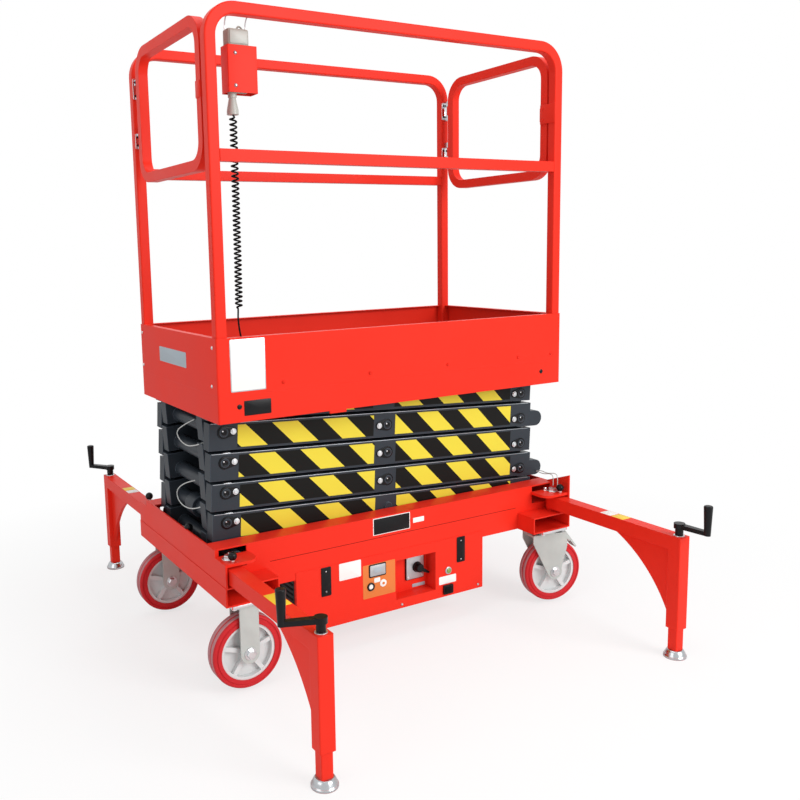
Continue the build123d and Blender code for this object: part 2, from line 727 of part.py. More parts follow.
# roller tracks: C-channels, open inwards, welded under the perimeter bar and a cross bar
track_low = track_top - plate
track_high = deck_under - ledge
with BuildPart() as tracks:
    for side in (-1, 1):
        with BuildSketch(Plane.YZ.offset(-half_length + sheet)) as track:
            with Locations((side * (track_in + track_out) / 2, (track_low + track_high) / 2)):
                Rectangle(track_out - track_in, track_high - track_low)
            with Locations((side * ((track_in + track_out) / 2 - plate), top_pin_z)):
                Rectangle(track_out - track_in, 2 * (roller_radius + running), mode=Mode.SUBTRACT)
        extrude(amount=track_right + half_length - sheet)
save(tracks.part, "roller_tracks")

with BuildPart() as deck:
    with BuildSketch(Plane.XY.offset(deck_under)) as floor:
        RectangleRounded(platform_length - 2 * sheet, platform_width - 2 * sheet, corner - sheet)
    extrude(amount=deck_thickness)
save(deck.part, "deck_plate")

flange = 18.0
with BuildPart() as toe:
    with BuildSketch(Plane.XY.offset(seam_z)) as wall:
        RectangleRounded(platform_length, platform_width, corner)
        RectangleRounded(platform_length - 2 * sheet, platform_width - 2 * sheet, corner - sheet, mode=Mode.SUBTRACT)
    extrude(amount=toe_board_height)
    with BuildSketch(Plane.XY.offset(toe_top - sheet)) as fold:
        RectangleRounded(platform_length, platform_width, corner)
        Rectangle(platform_length - 2 * flange, platform_width - 2 * flange, mode=Mode.SUBTRACT)
        with Locations(*[(sx * post_x, sy * post_y) for sx in (-1, 1) for sy in (-1, 1)]):
            Rectangle(rail_tube + 1, rail_tube + 1, mode=Mode.SUBTRACT)
    extrude(amount=sheet)
save(toe.part, "toe_board")

# ---------------------------------------------------------------- guardrails
for side_name, side in SIDES:
    y = side * post_y
    with BuildPart() as guard:
        with BuildLine(Plane.XZ.offset(-y)) as path:
            FilletPolyline(
                (-post_x, deck_top),
                (-post_x, guard_top - rail_tube / 2),
                (post_x, guard_top - rail_tube / 2),
                (post_x, deck_top),
                radius=rail_bend,
            )
        with BuildSketch(Plane.XY.offset(deck_top)) as section:
            with Locations((-post_x, y)):
                RectangleRounded(rail_tube, rail_tube, 4)
        sweep(section.sketch, path=path.line)
        with Locations((0, y, mid_top - rail_tube / 2)):
            Box(2 * post_x - rail_tube, rail_tube - 2, rail_tube)
    save(guard.part, f"guardrail_{side_name}")

# ---------------------------------------------------------------- end gates
gate_top = guard_top - 20.0
gate_bottom = mid_top - rail_tube - 18.0
gate_front = -(post_y - rail_tube / 2) + 7.0
gate_rear = post_y - rail_tube / 2 - 34.0
hinge_y = gate_rear + 12.0
hinge_radius = 7.0
hinge_levels = (guard_top - 265.0, guard_top - 122.0)

for end_name, end in ENDS:
    x = end * (post_x + (rail_tube - gate_tube) / 2)
    with BuildPart() as gate:
        with BuildSketch(Plane.YZ.offset(x - gate_tube / 2)) as loop:
            with Locations(((gate_front + gate_rear) / 2, (gate_top + gate_bottom) / 2)):
                RectangleRounded(gate_rear - gate_front, gate_top - gate_bottom, gate_bend + gate_tube / 2)
                RectangleRounded(
                    gate_rear - gate_front - 2 * gate_tube,
                    gate_top - gate_bottom - 2 * gate_tube,
                    gate_bend - gate_tube / 2,
                    mode=Mode.SUBTRACT,
                )
        extrude(amount=gate_tube)
        # hinge knuckles on the gate
        for z in hinge_levels:
            with Locations((x, gate_rear + 3, z)):
                Box(6, 10, 30)
            with BuildSketch(Plane.XY.offset(z - 15)) as knuckle:
                with Locations((x, hinge_y)):
                    Circle(hinge_radius)
                    Circle(3 + running, mode=Mode.SUBTRACT)
            extrude(amount=30)
    save(gate.part, f"gate_{end_name}")

    # the rear post's hinge pins and leaves
    with BuildPart() as hinge:
        for z in hinge_levels:
            with BuildSketch(Plane.XY.offset(z - 34)) as pin:
                with Locations((x, hinge_y)):
                    Circle(3)
            extrude(amount=68)
            for low in (z - 34, z + 15.5):
                with BuildSketch(Plane.XY.offset(low)) as leaf:
                    with Locations((x, hinge_y)):
                        Circle(hinge_radius)
                    with Locations((x, (hinge_y + post_y - rail_tube / 2) / 2)):
                        Rectangle(6, post_y - rail_tube / 2 - hinge_y)
                extrude(amount=18.5)
    save(hinge.part, f"gate_hinges_{end_name}")

# ---------------------------------------------------------------- hung control
holder_left = -half_length + 75.0
holder_right = holder_left + 80.0
holder_front = -post_y + rail_tube / 2  # against the inner side of the front guardrail
holder_back = holder_front + 44.0
holder_bottom = guard_top - 209.0
holder_top = guard_top - 95.0

with BuildPart() as holder:
    with BuildSketch(Plane.XY.offset(holder_bottom)) as outline:
        with Locations(((holder_left + holder_right) / 2, (holder_front + holder_back) / 2)):
            Rectangle(holder_right - holder_left, holder_back - holder_front)
            Rectangle(holder_right - holder_left - 6, holder_back - holder_front - 6, mode=Mode.SUBTRACT)
    extrude(amount=holder_top - holder_bottom)
    with Locations(((holder_left + holder_right) / 2, holder_front + 1.5, (holder_bottom + guard_top - 5) / 2)):
        Box(44, 3, guard_top - 5 - holder_bottom)
save(holder.part, "control_holder")

pendant_x = holder_left + 33.0
cord_x = holder_left + 18.0
pendant_y = (holder_front + holder_back) / 2
with BuildPart() as pendant:
    with BuildSketch(Plane.XY.offset(holder_bottom + 4)) as body:
        with Locations((pendant_x, pendant_y)):
            RectangleRounded(58, 36, 8)
    extrude(amount=guard_top - 55 - holder_bottom - 4)
    fillet(pendant.edges().group_by(Axis.Z)[-1], 5)
save(pendant.part, "control_pendant")

plug_top = holder_bottom + 4
plug_bottom = holder_bottom - 56.0
with BuildPart() as plug:
    with BuildSketch(Plane(origin=(cord_x, pendant_y, plug_top), x_dir=(1, 0, 0), z_dir=(0, -1, 0))) as half:
        with BuildLine():
            Polyline((0, 0), (11, 0), (11, -14), (9, -16), (15, -46), (15, -56), (0, -56), close=True)
        make_face()
    revolve(axis=Axis((cord_x, pendant_y, 0), (0, 0, 1)))
save(plug.part, "pendant_connector")

# the plain lead from the coil down to the gland: offsets from the coil's axis and heights over the gland
lead_points = ((0.0, 193.0), (0.0, 163.0), (4.5, 120.5), (11.2, 77.5), (15.5, 33.5), (15.5, 0.0))
gland_top = deck_top + 14.0
coil_bottom = gland_top + lead_points[0][1]
with BuildPart() as coil:
    with BuildSketch(Plane.XY.offset(coil_bottom)) as ring:
        with Locations((cord_x, pendant_y)):
            Circle(coil_radius)
    extrude(amount=plug_bottom - coil_bottom)
save(coil.part, "curly_cord")

# straight runs joined by arcs as large as the runs allow
lead_spots = [Vector(cord_x + dx, pendant_y, gland_top + height) for dx, height in lead_points]
lead_radii = []
for before, at, after in zip(lead_spots, lead_spots[1:], lead_spots[2:]):
    turn = (at - before).get_angle(after - at)
    shorter = min((at - before).length, (after - at).length)
    lead_radii.append(0.45 * shorter / tan(radians(turn) / 2))
with BuildPart() as lead:
    with BuildLine() as lead_path:
        FilletPolyline(*lead_spots, radius=lead_radii)
    with BuildSketch(Plane(origin=lead_spots[0], z_dir=(0, 0, -1))) as section:
        Circle(lead_radius)
    sweep(section.sketch, path=lead_path.wire())
save(lead.part, "cord_lead")
lead_length = lead_path.wire().length
print("cord lead: length", round(lead_length, 1), "radii", [round(radius) for radius in lead_radii])
print("volume over section times length", round(lead.part.volume / (section.sketch.area * lead_length), 4))

with BuildPart() as gland:
    with BuildSketch(Plane.XY.offset(deck_top)) as body:
        with Locations((cord_x + lead_points[-1][0], pendant_y)):
            RegularPolygon(11, 6)
    extrude(amount=gland_top - deck_top)
save(gland.part, "cord_gland")
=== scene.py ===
"""Looks of a mobile scissor lift: finishes, fittings, markings, curly cord and studio."""

import json
import logging
import math
from dataclasses import dataclass
from enum import Enum
from functools import cache
from typing import Optional, Sequence

import bmesh
import bpy
from mathutils import Matrix, Vector

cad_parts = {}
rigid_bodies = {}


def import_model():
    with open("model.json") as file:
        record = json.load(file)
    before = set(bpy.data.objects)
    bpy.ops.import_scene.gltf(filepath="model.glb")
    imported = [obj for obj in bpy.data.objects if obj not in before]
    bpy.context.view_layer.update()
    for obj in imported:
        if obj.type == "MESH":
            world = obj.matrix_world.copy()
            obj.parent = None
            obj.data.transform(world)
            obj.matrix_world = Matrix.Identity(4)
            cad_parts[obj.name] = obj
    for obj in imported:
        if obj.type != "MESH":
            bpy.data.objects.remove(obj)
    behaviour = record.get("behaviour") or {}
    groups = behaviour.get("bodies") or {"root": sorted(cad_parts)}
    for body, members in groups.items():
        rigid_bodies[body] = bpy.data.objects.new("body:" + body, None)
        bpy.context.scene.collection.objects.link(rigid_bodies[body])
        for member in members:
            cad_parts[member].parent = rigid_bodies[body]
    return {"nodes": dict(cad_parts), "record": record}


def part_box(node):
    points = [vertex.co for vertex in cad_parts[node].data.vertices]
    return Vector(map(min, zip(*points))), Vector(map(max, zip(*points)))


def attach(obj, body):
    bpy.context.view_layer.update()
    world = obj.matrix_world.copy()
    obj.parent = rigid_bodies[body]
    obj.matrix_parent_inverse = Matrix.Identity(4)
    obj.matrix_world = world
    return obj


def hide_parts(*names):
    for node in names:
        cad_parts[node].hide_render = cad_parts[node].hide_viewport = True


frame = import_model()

log = logging.getLogger("scissor_lift")
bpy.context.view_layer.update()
JOINTS = {row["name"]: row for row in frame["record"]["behaviour"]["joints"]}
STAGES = range(1, 6)
SIDES = {"front": -1, "rear": 1}
ENDS = {"left": -1, "right": 1}
CORNERS = [(end, side) for end in ENDS for side in SIDES]
AHEAD, LEFT, UP, DOWN = (0, -1, 0), (-1, 0, 0), (0, 0, 1), (0, 0, -1)

Point = Sequence[float]
Spots = Sequence[tuple[Point, Point]]  # each one's place and the way it looks
Profile = Sequence[Point]  # (radius, height) from one end to the other


# ---------------------------------------------------------------------------- node trees
def linear(code: str) -> tuple[float, float, float, float]:
    """Turns a hex colour into the linear red, green, blue and alpha that the shader wants."""
    parts = [int(code[k:k + 2], 16) / 255 for k in (0, 2, 4)]
    return (*[c / 12.92 if c <= 0.04045 else ((c + 0.055) / 1.055) ** 2.4 for c in parts], 1.0)


class Graph:
    """A node tree, built node by node."""

    def __init__(self, tree: bpy.types.NodeTree) -> None:
        """Starts on a tree."""
        self.tree = tree

    def put(self, node: bpy.types.Node, inputs: dict) -> None:
        """Sets a node's inputs.

        Args:
            node: one of the tree's nodes.
            inputs: socket name or number to a value or to an output socket.
        """
        for name, value in inputs.items():
            if isinstance(value, bpy.types.NodeSocket):
                self.tree.links.new(value, node.inputs[name])
            else:
                node.inputs[name].default_value = value

    def add(self, kind: str, inputs: Optional[dict] = None, **settings: object) -> bpy.types.Node:
        """Adds a node.

        Args:
            kind: the node's type name.
            inputs: what its inputs are set to, as in put.
            settings: attributes of the node.

        Returns:
            The new node.
        """
        node = self.tree.nodes.new(kind)
        for name, value in settings.items():
            setattr(node, name, value)
        self.put(node, inputs or {})
        return node

    def maths(self, operation: str, *values: object) -> bpy.types.NodeSocket:
        """Adds one Math node on numbers or sockets, and gives its result."""
        return self.add("ShaderNodeMath", dict(enumerate(values)), operation=operation).outputs[0]

    def ramp(
        self, value: bpy.types.NodeSocket, start: float, end: float, low: float, high: float
    ) -> bpy.types.NodeSocket:
        """Maps the range from start to end onto the one from low to high, and gives the result."""
        ends = {"Value": value, "From Min": start, "From Max": end, "To Min": low, "To Max": high}
        return self.add("ShaderNodeMapRange", ends).outputs["Result"]


class Layout(Graph):
    """A Geometry Nodes tree that repeats a shape, with named inputs for its sizes."""

    def __init__(self, name: str, *sizes: str) -> None:
        """Makes the tree and its sockets.

        Args:
            name: the tree's name.
            sizes: names of its length inputs.
        """
        super().__init__(bpy.data.node_groups.new(name, "GeometryNodeTree"))
        sockets = self.tree.interface
        sockets.new_socket("Geometry", in_out="INPUT", socket_type="NodeSocketGeometry")
        for size in sizes:
            sockets.new_socket(size, in_out="INPUT", socket_type="NodeSocketFloat")
        sockets.new_socket("Finish", in_out="INPUT", socket_type="NodeSocketMaterial")
        sockets.new_socket("Geometry", in_out="OUTPUT", socket_type="NodeSocketGeometry")
        self.inputs = self.tree.nodes.new("NodeGroupInput").outputs

    def cone(self, sides: int, low: object, high: object, start: object, tall: object) -> bpy.types.NodeSocket:
        """Adds a closed cone or drum standing on the plane.

        Args:
            sides: of its outline.
            low: radius at its foot.
            high: radius at its top.
            start: height of its foot.
            tall: its own height.

        Returns:
            The mesh socket.
        """
        sizes = {"Vertices": sides, "Radius Bottom": low, "Radius Top": high, "Depth": tall}
        drum = self.add("GeometryNodeMeshCone", sizes)
        lift = self.add("ShaderNodeCombineXYZ", {"Z": start})
        moved = {"Geometry": drum.outputs["Mesh"], "Translation": lift.outputs[0]}
        return self.add("GeometryNodeTransform", moved).outputs[0]

    def finish(self, shape: bpy.types.NodeSocket, axis: str) -> None:
        """Sets the shape on every seed, turned to the seed's own way, makes it real and dresses it.

        Args:
            shape: what is repeated.
            axis: which of its axes is turned to that way.
        """
        way = self.add("GeometryNodeInputNamedAttribute", {"Name": "way"}, data_type="FLOAT_VECTOR")
        turn = self.add("FunctionNodeAlignRotationToVector", {"Vector": way.outputs[0]}, axis=axis)
        seeds = {"Points": self.inputs["Geometry"], "Instance": shape, "Rotation": turn.outputs[0]}
        placed = self.add("GeometryNodeInstanceOnPoints", seeds)
        real = self.add("GeometryNodeRealizeInstances", {"Geometry": placed.outputs[0]})
        dressed = {"Geometry": real.outputs[0], "Material": self.inputs["Finish"]}
        out = self.add("GeometryNodeSetMaterial", dressed)
        self.tree.links.new(out.outputs[0], self.tree.nodes.new("NodeGroupOutput").inputs[0])

    def run(self, spots: Spots, finish: "Finish", **sizes: float) -> bpy.types.Mesh:
        """Runs the tree and gives the result as a plain mesh.

        Args:
            spots: the place of each seed and the way it looks.
            finish: what the result is dressed with.
            sizes: its length inputs.

        Returns:
            The result.
        """
        seeds = bpy.data.meshes.new("seeds")
        seeds.from_pydata([tuple(place) for place, _ in spots], [], [])
        ways = seeds.attributes.new("way", "FLOAT_VECTOR", "POINT")
        ways.data.foreach_set("vector", [value for _, way in spots for value in way])
        holder = bpy.data.objects.new("seeds", seeds)
        bpy.context.scene.collection.objects.link(holder)
        modifier = holder.modifiers.new("layout", "NODES")
        modifier.node_group = self.tree
        values = {**sizes, "Finish": finish.material()}
        for item in self.tree.interface.items_tree:
            if item.in_out == "INPUT" and item.name in values:
                modifier[item.identifier] = values[item.name]
        held = holder.evaluated_get(bpy.context.evaluated_depsgraph_get())
        made = bpy.data.meshes.new_from_object(held)
        bpy.data.objects.remove(holder)
        bpy.data.meshes.remove(seeds)
        if "way" in made.attributes:
            made.attributes.remove(made.attributes["way"])
        return made


# ---------------------------------------------------------------------------- finishes
NOISE_BAND = (0.25, 0.75)  # most of a noise lies here


@dataclass(frozen=True)
class Finish:
    """A surface finish with a slow drift of its colour, uneven gloss and a fine grain."""

    name: str
    colour: str  # hex
    roughness: float = 0.45
    metallic: float = 0.0  # 1 for bare metal
    specular: float = 0.3  # strength of the reflection of paint and plastic
    drift: float = 0.04  # how far the colour's value wanders
    drift_scale: float = 5.0  # patches in a metre
    grain: float = 0.1  # strength of the fine bump
    grain_scale: float = 400.0  # grains in a metre
    edge: float = 0.0  # radius with which sharp edges catch the light, in metres
    painted_edge_light: float = 0.0  # how much lighter the sharp edges are painted, a painted highlight

    def base(self, graph: Graph) -> bpy.types.NodeSocket:
        """Gives the colour before it drifts.

        Args:
            graph: the material's graph.

        Returns:
            A colour socket.
        """
        node = graph.add("ShaderNodeRGB")
        node.outputs[0].default_value = linear(self.colour)
        return node.outputs[0]

    @cache
    def material(self) -> bpy.types.Material:
        """Builds the material once and hands it out after that.

        Returns:
            The material.
        """
        made = bpy.data.materials.new(f"{self.name}_finish")
        made.use_nodes = True
        made.diffuse_color = linear(self.colour)
        graph = Graph(made.node_tree)
        place = graph.add("ShaderNodeTexCoord").outputs["Object"]
        slow = graph.add("ShaderNodeTexNoise", {"Vector": place, "Scale": self.drift_scale, "Detail": 4.0})
        value = graph.ramp(slow.outputs["Fac"], *NOISE_BAND, 1 - self.drift, 1 + self.drift)
        soft = graph.add("ShaderNodeBevel", {"Radius": self.edge}, samples=6).outputs[0] if self.edge else None
        # painted highlight: the colour is made lighter at every sharp edge, where the rounded normal leaves the
        # flat one
        if self.painted_edge_light and soft:
            flat = graph.add("ShaderNodeNewGeometry").outputs["Normal"]
            match = graph.add("ShaderNodeVectorMath", {0: flat, 1: soft}, operation="DOT_PRODUCT")
            value = graph.maths("ADD", value, graph.ramp(match.outputs["Value"], 1.0, 0.75, 0.0, self.painted_edge_light))
        shade = graph.add("ShaderNodeHueSaturation", {"Color": self.base(graph), "Value": value})
        fine = graph.add("ShaderNodeTexNoise", {"Vector": place, "Scale": self.grain_scale, "Detail": 2.0})
        rough = graph.ramp(slow.outputs["Fac"], *NOISE_BAND, self.roughness - 0.04, self.roughness + 0.05)
        grain = {"Height": fine.outputs["Fac"], "Strength": self.grain, "Distance": 0.0005}
        bump = graph.add("ShaderNodeBump", {**grain, "Normal": soft} if soft else grain)
        looks = {"Base Color": shade.outputs[0], "Roughness": rough, "Normal": bump.outputs[0]}
        looks |= {"Metallic": self.metallic, "Specular IOR Level": self.specular}
        graph.put(made.node_tree.nodes["Principled BSDF"], looks)
        return made


@dataclass(frozen=True)
class HazardTape(Finish):
    """Self-adhesive tape with slanted stripes, counted along the tape by its "stripe" attribute."""

    second: str = "131210"  # hex colour of the other stripe

    def base(self, graph: Graph) -> bpy.types.NodeSocket:
        """Gives the two stripe colours by the count along the tape.

        Args:
            graph: the material's graph.

        Returns:
            A colour socket.
        """
        count = graph.add("ShaderNodeAttribute", attribute_name="stripe").outputs["Fac"]
        dark = graph.maths("GREATER_THAN", graph.maths("FRACT", count), 0.5)
        mix = graph.add("ShaderNodeMix", data_type="RGBA")
        mix.inputs[6].default_value = linear(self.colour)
        mix.inputs[7].default_value = linear(self.second)
        graph.tree.links.new(dark, mix.inputs[0])
        return mix.outputs[2]


class Finishes:
    """Every finish on the machine."""

    PAINT = Finish(
        "red_gloss_paint", "E93020", 0.36, specular=0.1, drift=0.03, grain=0.06, grain_scale=160, edge=0.0015
    )
    # painted shade: a dark red line that stands in for the shadow in the rails' seam
    SEAM_SHADE = Finish("painted_seam_shade", "6E140E", 0.6, specular=0.05, drift=0.1, grain=0.1)
    # the arms' sharp edges are painted lighter, a painted highlight
    SATIN = Finish(
        "dark_satin_paint", "2E343B", 0.38, specular=0.22, drift=0.1, grain=0.14, grain_scale=500, edge=0.0028,
        painted_edge_light=3.0,
    )
    TREAD = Finish(
        "moulded_tyre", "C9262C", 0.45, specular=0.2, drift=0.05, grain=0.12, grain_scale=300, edge=0.001
    )
    BAND = Finish(
        "worn_tread_band", "B98387", 0.6, specular=0.2, drift=0.08, drift_scale=60, grain=0.3, grain_scale=220
    )
    HUB = Finish("hub_grey_plastic", "D9DBDB", 0.45, drift=0.05, grain=0.1, edge=0.001)
    FORK = Finish("dull_zinc", "BDC2BE", 0.5, metallic=0.35, drift=0.07, drift_scale=25, grain=0.12, edge=0.001)
    ZINC = Finish("bright_zinc", "D2D4D6", 0.3, metallic=1.0, drift=0.08, drift_scale=40, grain=0.08, edge=0.0008)
    # painted highlight: a light strip along the arms' rounded upper edges
    HIGHLIGHT_LINE = Finish("painted_highlight_line", "A9B0B6", 0.3, metallic=0.5, specular=0.4, drift=0.3, drift_scale=14, grain=0.1)
    FOOT = Finish("pressed_foot", "B4B7BA", 0.2, metallic=1.0, drift=0.06, drift_scale=50, grain=0.04)
    CHROME = Finish("hard_chrome", "DCDEE0", 0.12, metallic=1.0, drift=0.02, grain=0.01)
    BLACK = Finish("black_plastic", "0E0E10", 0.28, specular=0.2, drift=0.1, grain=0.12, edge=0.0008)
    RUBBER = Finish("cord_rubber", "0A0A0B", 0.45, specular=0.1, drift=0.1, grain=0.1)
    GREY = Finish("pendant_grey_plastic", "A3A198", 0.5, drift=0.05, grain=0.1, edge=0.001)
    DECK = Finish("deck_steel", "6A6E72", 0.42, metallic=0.6, drift=0.12, drift_scale=12, grain=0.2, edge=0.001)
    TAPE = HazardTape("hazard_tape", "E4D343", 0.38, specular=0.12, drift=0.03, grain=0.05)
    WHITE = Finish("white_label", "EDEDEA", 0.4, specular=0.25, drift=0.02, grain=0.04)
    YELLOW = Finish("yellow_label", "F2CE3C", 0.4, specular=0.25, drift=0.03, grain=0.04)
    ORANGE = Finish("orange_panel", "DF7B3A", 0.4, specular=0.25, drift=0.03, grain=0.05)
    PALE = Finish("grey_blue_label", "A9B4BC", 0.4, specular=0.25, drift=0.03, grain=0.04)
    CLEAR = Finish("cloudy_plastic", "B2B3AC", 0.25, specular=0.4, drift=0.06, grain=0.05, edge=0.001)
    GREEN = Finish("green_lens", "7C9C48", 0.15, specular=0.5, drift=0.05, grain=0.02)
    SILVER = Finish("brushed_plate", "B7BBBE", 0.38, metallic=0.8, drift=0.06, drift_scale=60, grain=0.15)
    WIRE = Finish("grey_wire", "C9CBC9", 0.45, drift=0.06, grain=0.08)


# ---------------------------------------------------------------------------- meshes
def facing(place: Point, way: Point, up: Point = UP) -> Matrix:
    """A plane whose Z looks one way.

    Args:
        place: its origin.
        way: what its Z points along.
        up: what its Y leans towards.

    Returns:
        The plane as a 4x4.
    """
    z = Vector(way).normalized()
    x = Vector(up).cross(z)
    if x.length < 1e-6:
        x = Vector((1, 0, 0)).cross(z)
    x.normalize()
    turn = Matrix((x, z.cross(x), z)).transposed().to_4x4()
    return Matrix.Translation(Vector(place)) @ turn


def rounded(half_x: float, half_y: float, radius: float, steps: int = 4) -> list[tuple[float, float]]:
    """Corners of a rectangle with rounded corners about its middle.

    Args:
        half_x: half its width.
        half_y: half its height.
        radius: of its corners.
        steps: chords in each corner.

    Returns:
        The outline, anticlockwise.
    """
    outline = []
    for quarter, (sx, sy) in enumerate(((1, 1), (-1, 1), (-1, -1), (1, -1))):
        for k in range(steps + 1):
            a = math.pi / 2 * (quarter + k / steps)
            x = sx * (half_x - radius) + radius * math.cos(a)
            outline.append((x, sy * (half_y - radius) + radius * math.sin(a)))
    return outline


def rectangle(x: Point, y: Point) -> list[tuple[float, float]]:
    """Corners of a plain rectangle between two ends along X and two along Y."""
    return [(x[0], y[0]), (x[1], y[0]), (x[1], y[1]), (x[0], y[1])]


class Head(Enum):
    """Heads of screws and rivets: stacked drums as sides, foot radius, top radius, start and end.

    Radii are shares of the head's radius, heights are shares of its height.
    """

    HEX = ((20, 1.38, 1.34, 0.0, 0.16), (6, 1.0, 1.0, 0.16, 0.86), (6, 1.0, 0.87, 0.86, 1.0))
    CAP = ((18, 1.3, 1.25, 0.0, 0.12), (16, 1.0, 1.0, 0.12, 0.8), (16, 1.0, 0.84, 0.8, 1.0))
    RIVET = ((12, 1.0, 0.93, 0.0, 0.35), (12, 0.93, 0.7, 0.35, 0.75), (12, 0.7, 0.3, 0.75, 1.0))

    @cache
    def layout(self) -> Layout:
        """Geometry Nodes that set this head on every seed.

        Returns:
            The tree, built once.
        """
        graph = Layout(f"{self.name.lower()}_heads", "Radius", "Height")
        radius, height = graph.inputs["Radius"], graph.inputs["Height"]
        whole = graph.tree.nodes.new("GeometryNodeJoinGeometry")
        for sides, low, high, start, end in self.value:
            sizes = [graph.maths("MULTIPLY", radius, share) for share in (low, high)]
            rise = [graph.maths("MULTIPLY", height, share) for share in (start, end - start)]
            graph.tree.links.new(graph.cone(sides, *sizes, *rise), whole.inputs[0])
        graph.finish(whole.outputs[0], "Z")
        return graph


class Shape:
    """A mesh under construction in the row frame, in metres, with a finish for each face."""

    def __init__(self) -> None:
        """Starts empty."""
        self.mesh = bmesh.new()
        self.finishes: list[Finish] = []

    def index(self, finish: Finish) -> int:
        """Gives the finish's place among the mesh's materials.

        Args:
            finish: one of the finishes.

        Returns:
            Its number.
        """
        if finish not in self.finishes:
            self.finishes.append(finish)
        return self.finishes.index(finish)

    def merge(self, data: bpy.types.Mesh, finish: Finish, smooth: bool) -> None:
        """Adds a finished mesh and removes it.

        Args:
            data: the mesh.
            finish: what its faces get.
            smooth: whether they are shaded smooth.
        """
        number = self.index(finish)
        for face in data.polygons:
            face.material_index, face.use_smooth = number, smooth
        self.mesh.from_mesh(data)
        bpy.data.meshes.remove(data)

    def take(self, part: bmesh.types.BMesh, finish: Finish, bevel: float = 0.0, crease: float = 38.0) -> None:
        """Adds a finished primitive, with its sharp edges rounded.

        Args:
            part: the primitive, which is freed.
            finish: what its faces get.
            bevel: radius of the rounded edges.
            crease: angle in degrees from which an edge is shaded sharp.
        """
        bmesh.ops.recalc_face_normals(part, faces=part.faces)
        if bevel:
            sharp = [e for e in part.edges if e.is_manifold and e.calc_face_angle() > math.radians(30)]
            bmesh.ops.bevel(
                part, geom=sharp, offset=bevel, segments=2, profile=0.5, affect="EDGES", clamp_overlap=True
            )
        for edge in part.edges:
            edge.smooth = not edge.is_manifold or edge.calc_face_angle() < math.radians(crease)
        held = bpy.data.meshes.new("held")
        part.to_mesh(held)
        part.free()
        self.merge(held, finish, True)

    def prism(
        self, outline: Sequence[Point], base: Matrix, depth: float, finish: Finish, bevel: float = 0.0
    ) -> None:
        """Adds an outline pushed out along its plane's own Z.

        Args:
            outline: corners in the plane, in order.
            base: the plane's place, as a 4x4.
            depth: how far it is pushed.
            finish: what its faces get.
            bevel: radius of the rounded edges.
        """
        part = bmesh.new()
        face = part.faces.new([part.verts.new(base @ Vector((p[0], p[1], 0.0))) for p in outline])
        grown = bmesh.ops.extrude_face_region(part, geom=[face])["geom"]
        shift = base.to_3x3() @ Vector((0, 0, depth))
        bmesh.ops.translate(part, vec=shift, verts=[v for v in grown if isinstance(v, bmesh.types.BMVert)])
        self.take(part, finish, bevel)

    def box(self, low: Point, high: Point, finish: Finish, bevel: float = 0.001) -> None:
        """Adds a block with rounded edges between its lowest and its highest corner."""
        outline = rectangle((low[0], high[0]), (low[1], high[1]))
        self.prism(outline, Matrix.Translation((0, 0, low[2])), high[2] - low[2], finish, bevel)

    def sleeve(self, outer: Profile, inner: Profile, base: Matrix, depth: float, finish: Finish) -> None:
        """Adds a wall between two outlines, open through its middle.

        Args:
            outer: the outer outline.
            inner: the inner one, with as many points.
            base: the plane's place, as a 4x4.
            depth: how far it is pushed along the plane's Z.
            finish: what its faces get.
        """
        part, count = bmesh.new(), len(outer)
        loops = []
        for outline, height in ((outer, 0.0), (outer, depth), (inner, depth), (inner, 0.0)):
            loops.append([part.verts.new(base @ Vector((p[0], p[1], height))) for p in outline])
        for one, two in zip(loops, loops[1:] + loops[:1]):
            for j in range(count):
                part.faces.new([one[j], one[(j + 1) % count], two[(j + 1) % count], two[j]])
        self.take(part, finish)

    def lathe(self, profile: Profile, base: Matrix, finish: Finish, steps: int = 32, hoop: bool = False) -> None:
        """Adds a profile turned round its plane's own Z.

        Args:
            profile: (radius, height) points; level faces close it to the axis at both ends.
            base: the axis, as a 4x4 whose Z it is.
            finish: what its faces get.
            steps: faces round the axis.
            hoop: close the profile on itself instead, and shade it smooth all round.
        """
        ends = [] if hoop else [(0.0, profile[0][1])], [] if hoop else [(0.0, profile[-1][1])]
        whole = ends[0] * (profile[0][0] > 0) + list(profile) + ends[1] * (profile[-1][0] > 0)
        part = bmesh.new()
        rings = []
        for radius, height in whole:
            turns = [2 * math.pi * k / steps for k in range(steps)] if radius > 0 else [0.0]
            spots = [Vector((radius * math.cos(a), radius * math.sin(a), height)) for a in turns]
            rings.append([part.verts.new(base @ spot) for spot in spots])
        for one, two in zip(rings, rings[1:] + rings[:1] * hoop):
            for k in range(steps):
                corners = [one[k % len(one)], one[(k + 1) % len(one)], two[(k + 1) % len(two)], two[k % len(two)]]
                part.faces.new(list(dict.fromkeys(corners)))
        self.take(part, finish, crease=180.0 if hoop else 38.0)

    def ball(self, centre: Point, radius: float, finish: Finish, steps: int = 20) -> None:
        """Adds a ball.

        Args:
            centre: its middle.
            radius: its radius.
            finish: what it gets.
            steps: faces round it.
        """
        half = steps // 2
        arc = [math.pi * k / half - math.pi / 2 for k in range(1, half)]
        profile = [(0.0, -radius), *[(radius * math.cos(a), radius * math.sin(a)) for a in arc], (0.0, radius)]
        self.lathe(profile, Matrix.Translation(Vector(centre)), finish, steps)

    def stem(self, start: Point, end: Point, radius: float, finish: Finish, steps: int = 16) -> None:
        """Adds a round bar between two points.

        Args:
            start: one end.
            end: the other end.
            radius: of the bar.
            finish: what it gets.
            steps: faces round it.
        """
        way = Vector(end) - Vector(start)
        length, edge = way.length, radius * 0.15
        profile = [(radius - edge, 0), (radius, edge), (radius, length - edge), (radius - edge, length)]
        self.lathe(profile, facing(start, way, (0.3, 0.8, 0.5)), finish, steps)

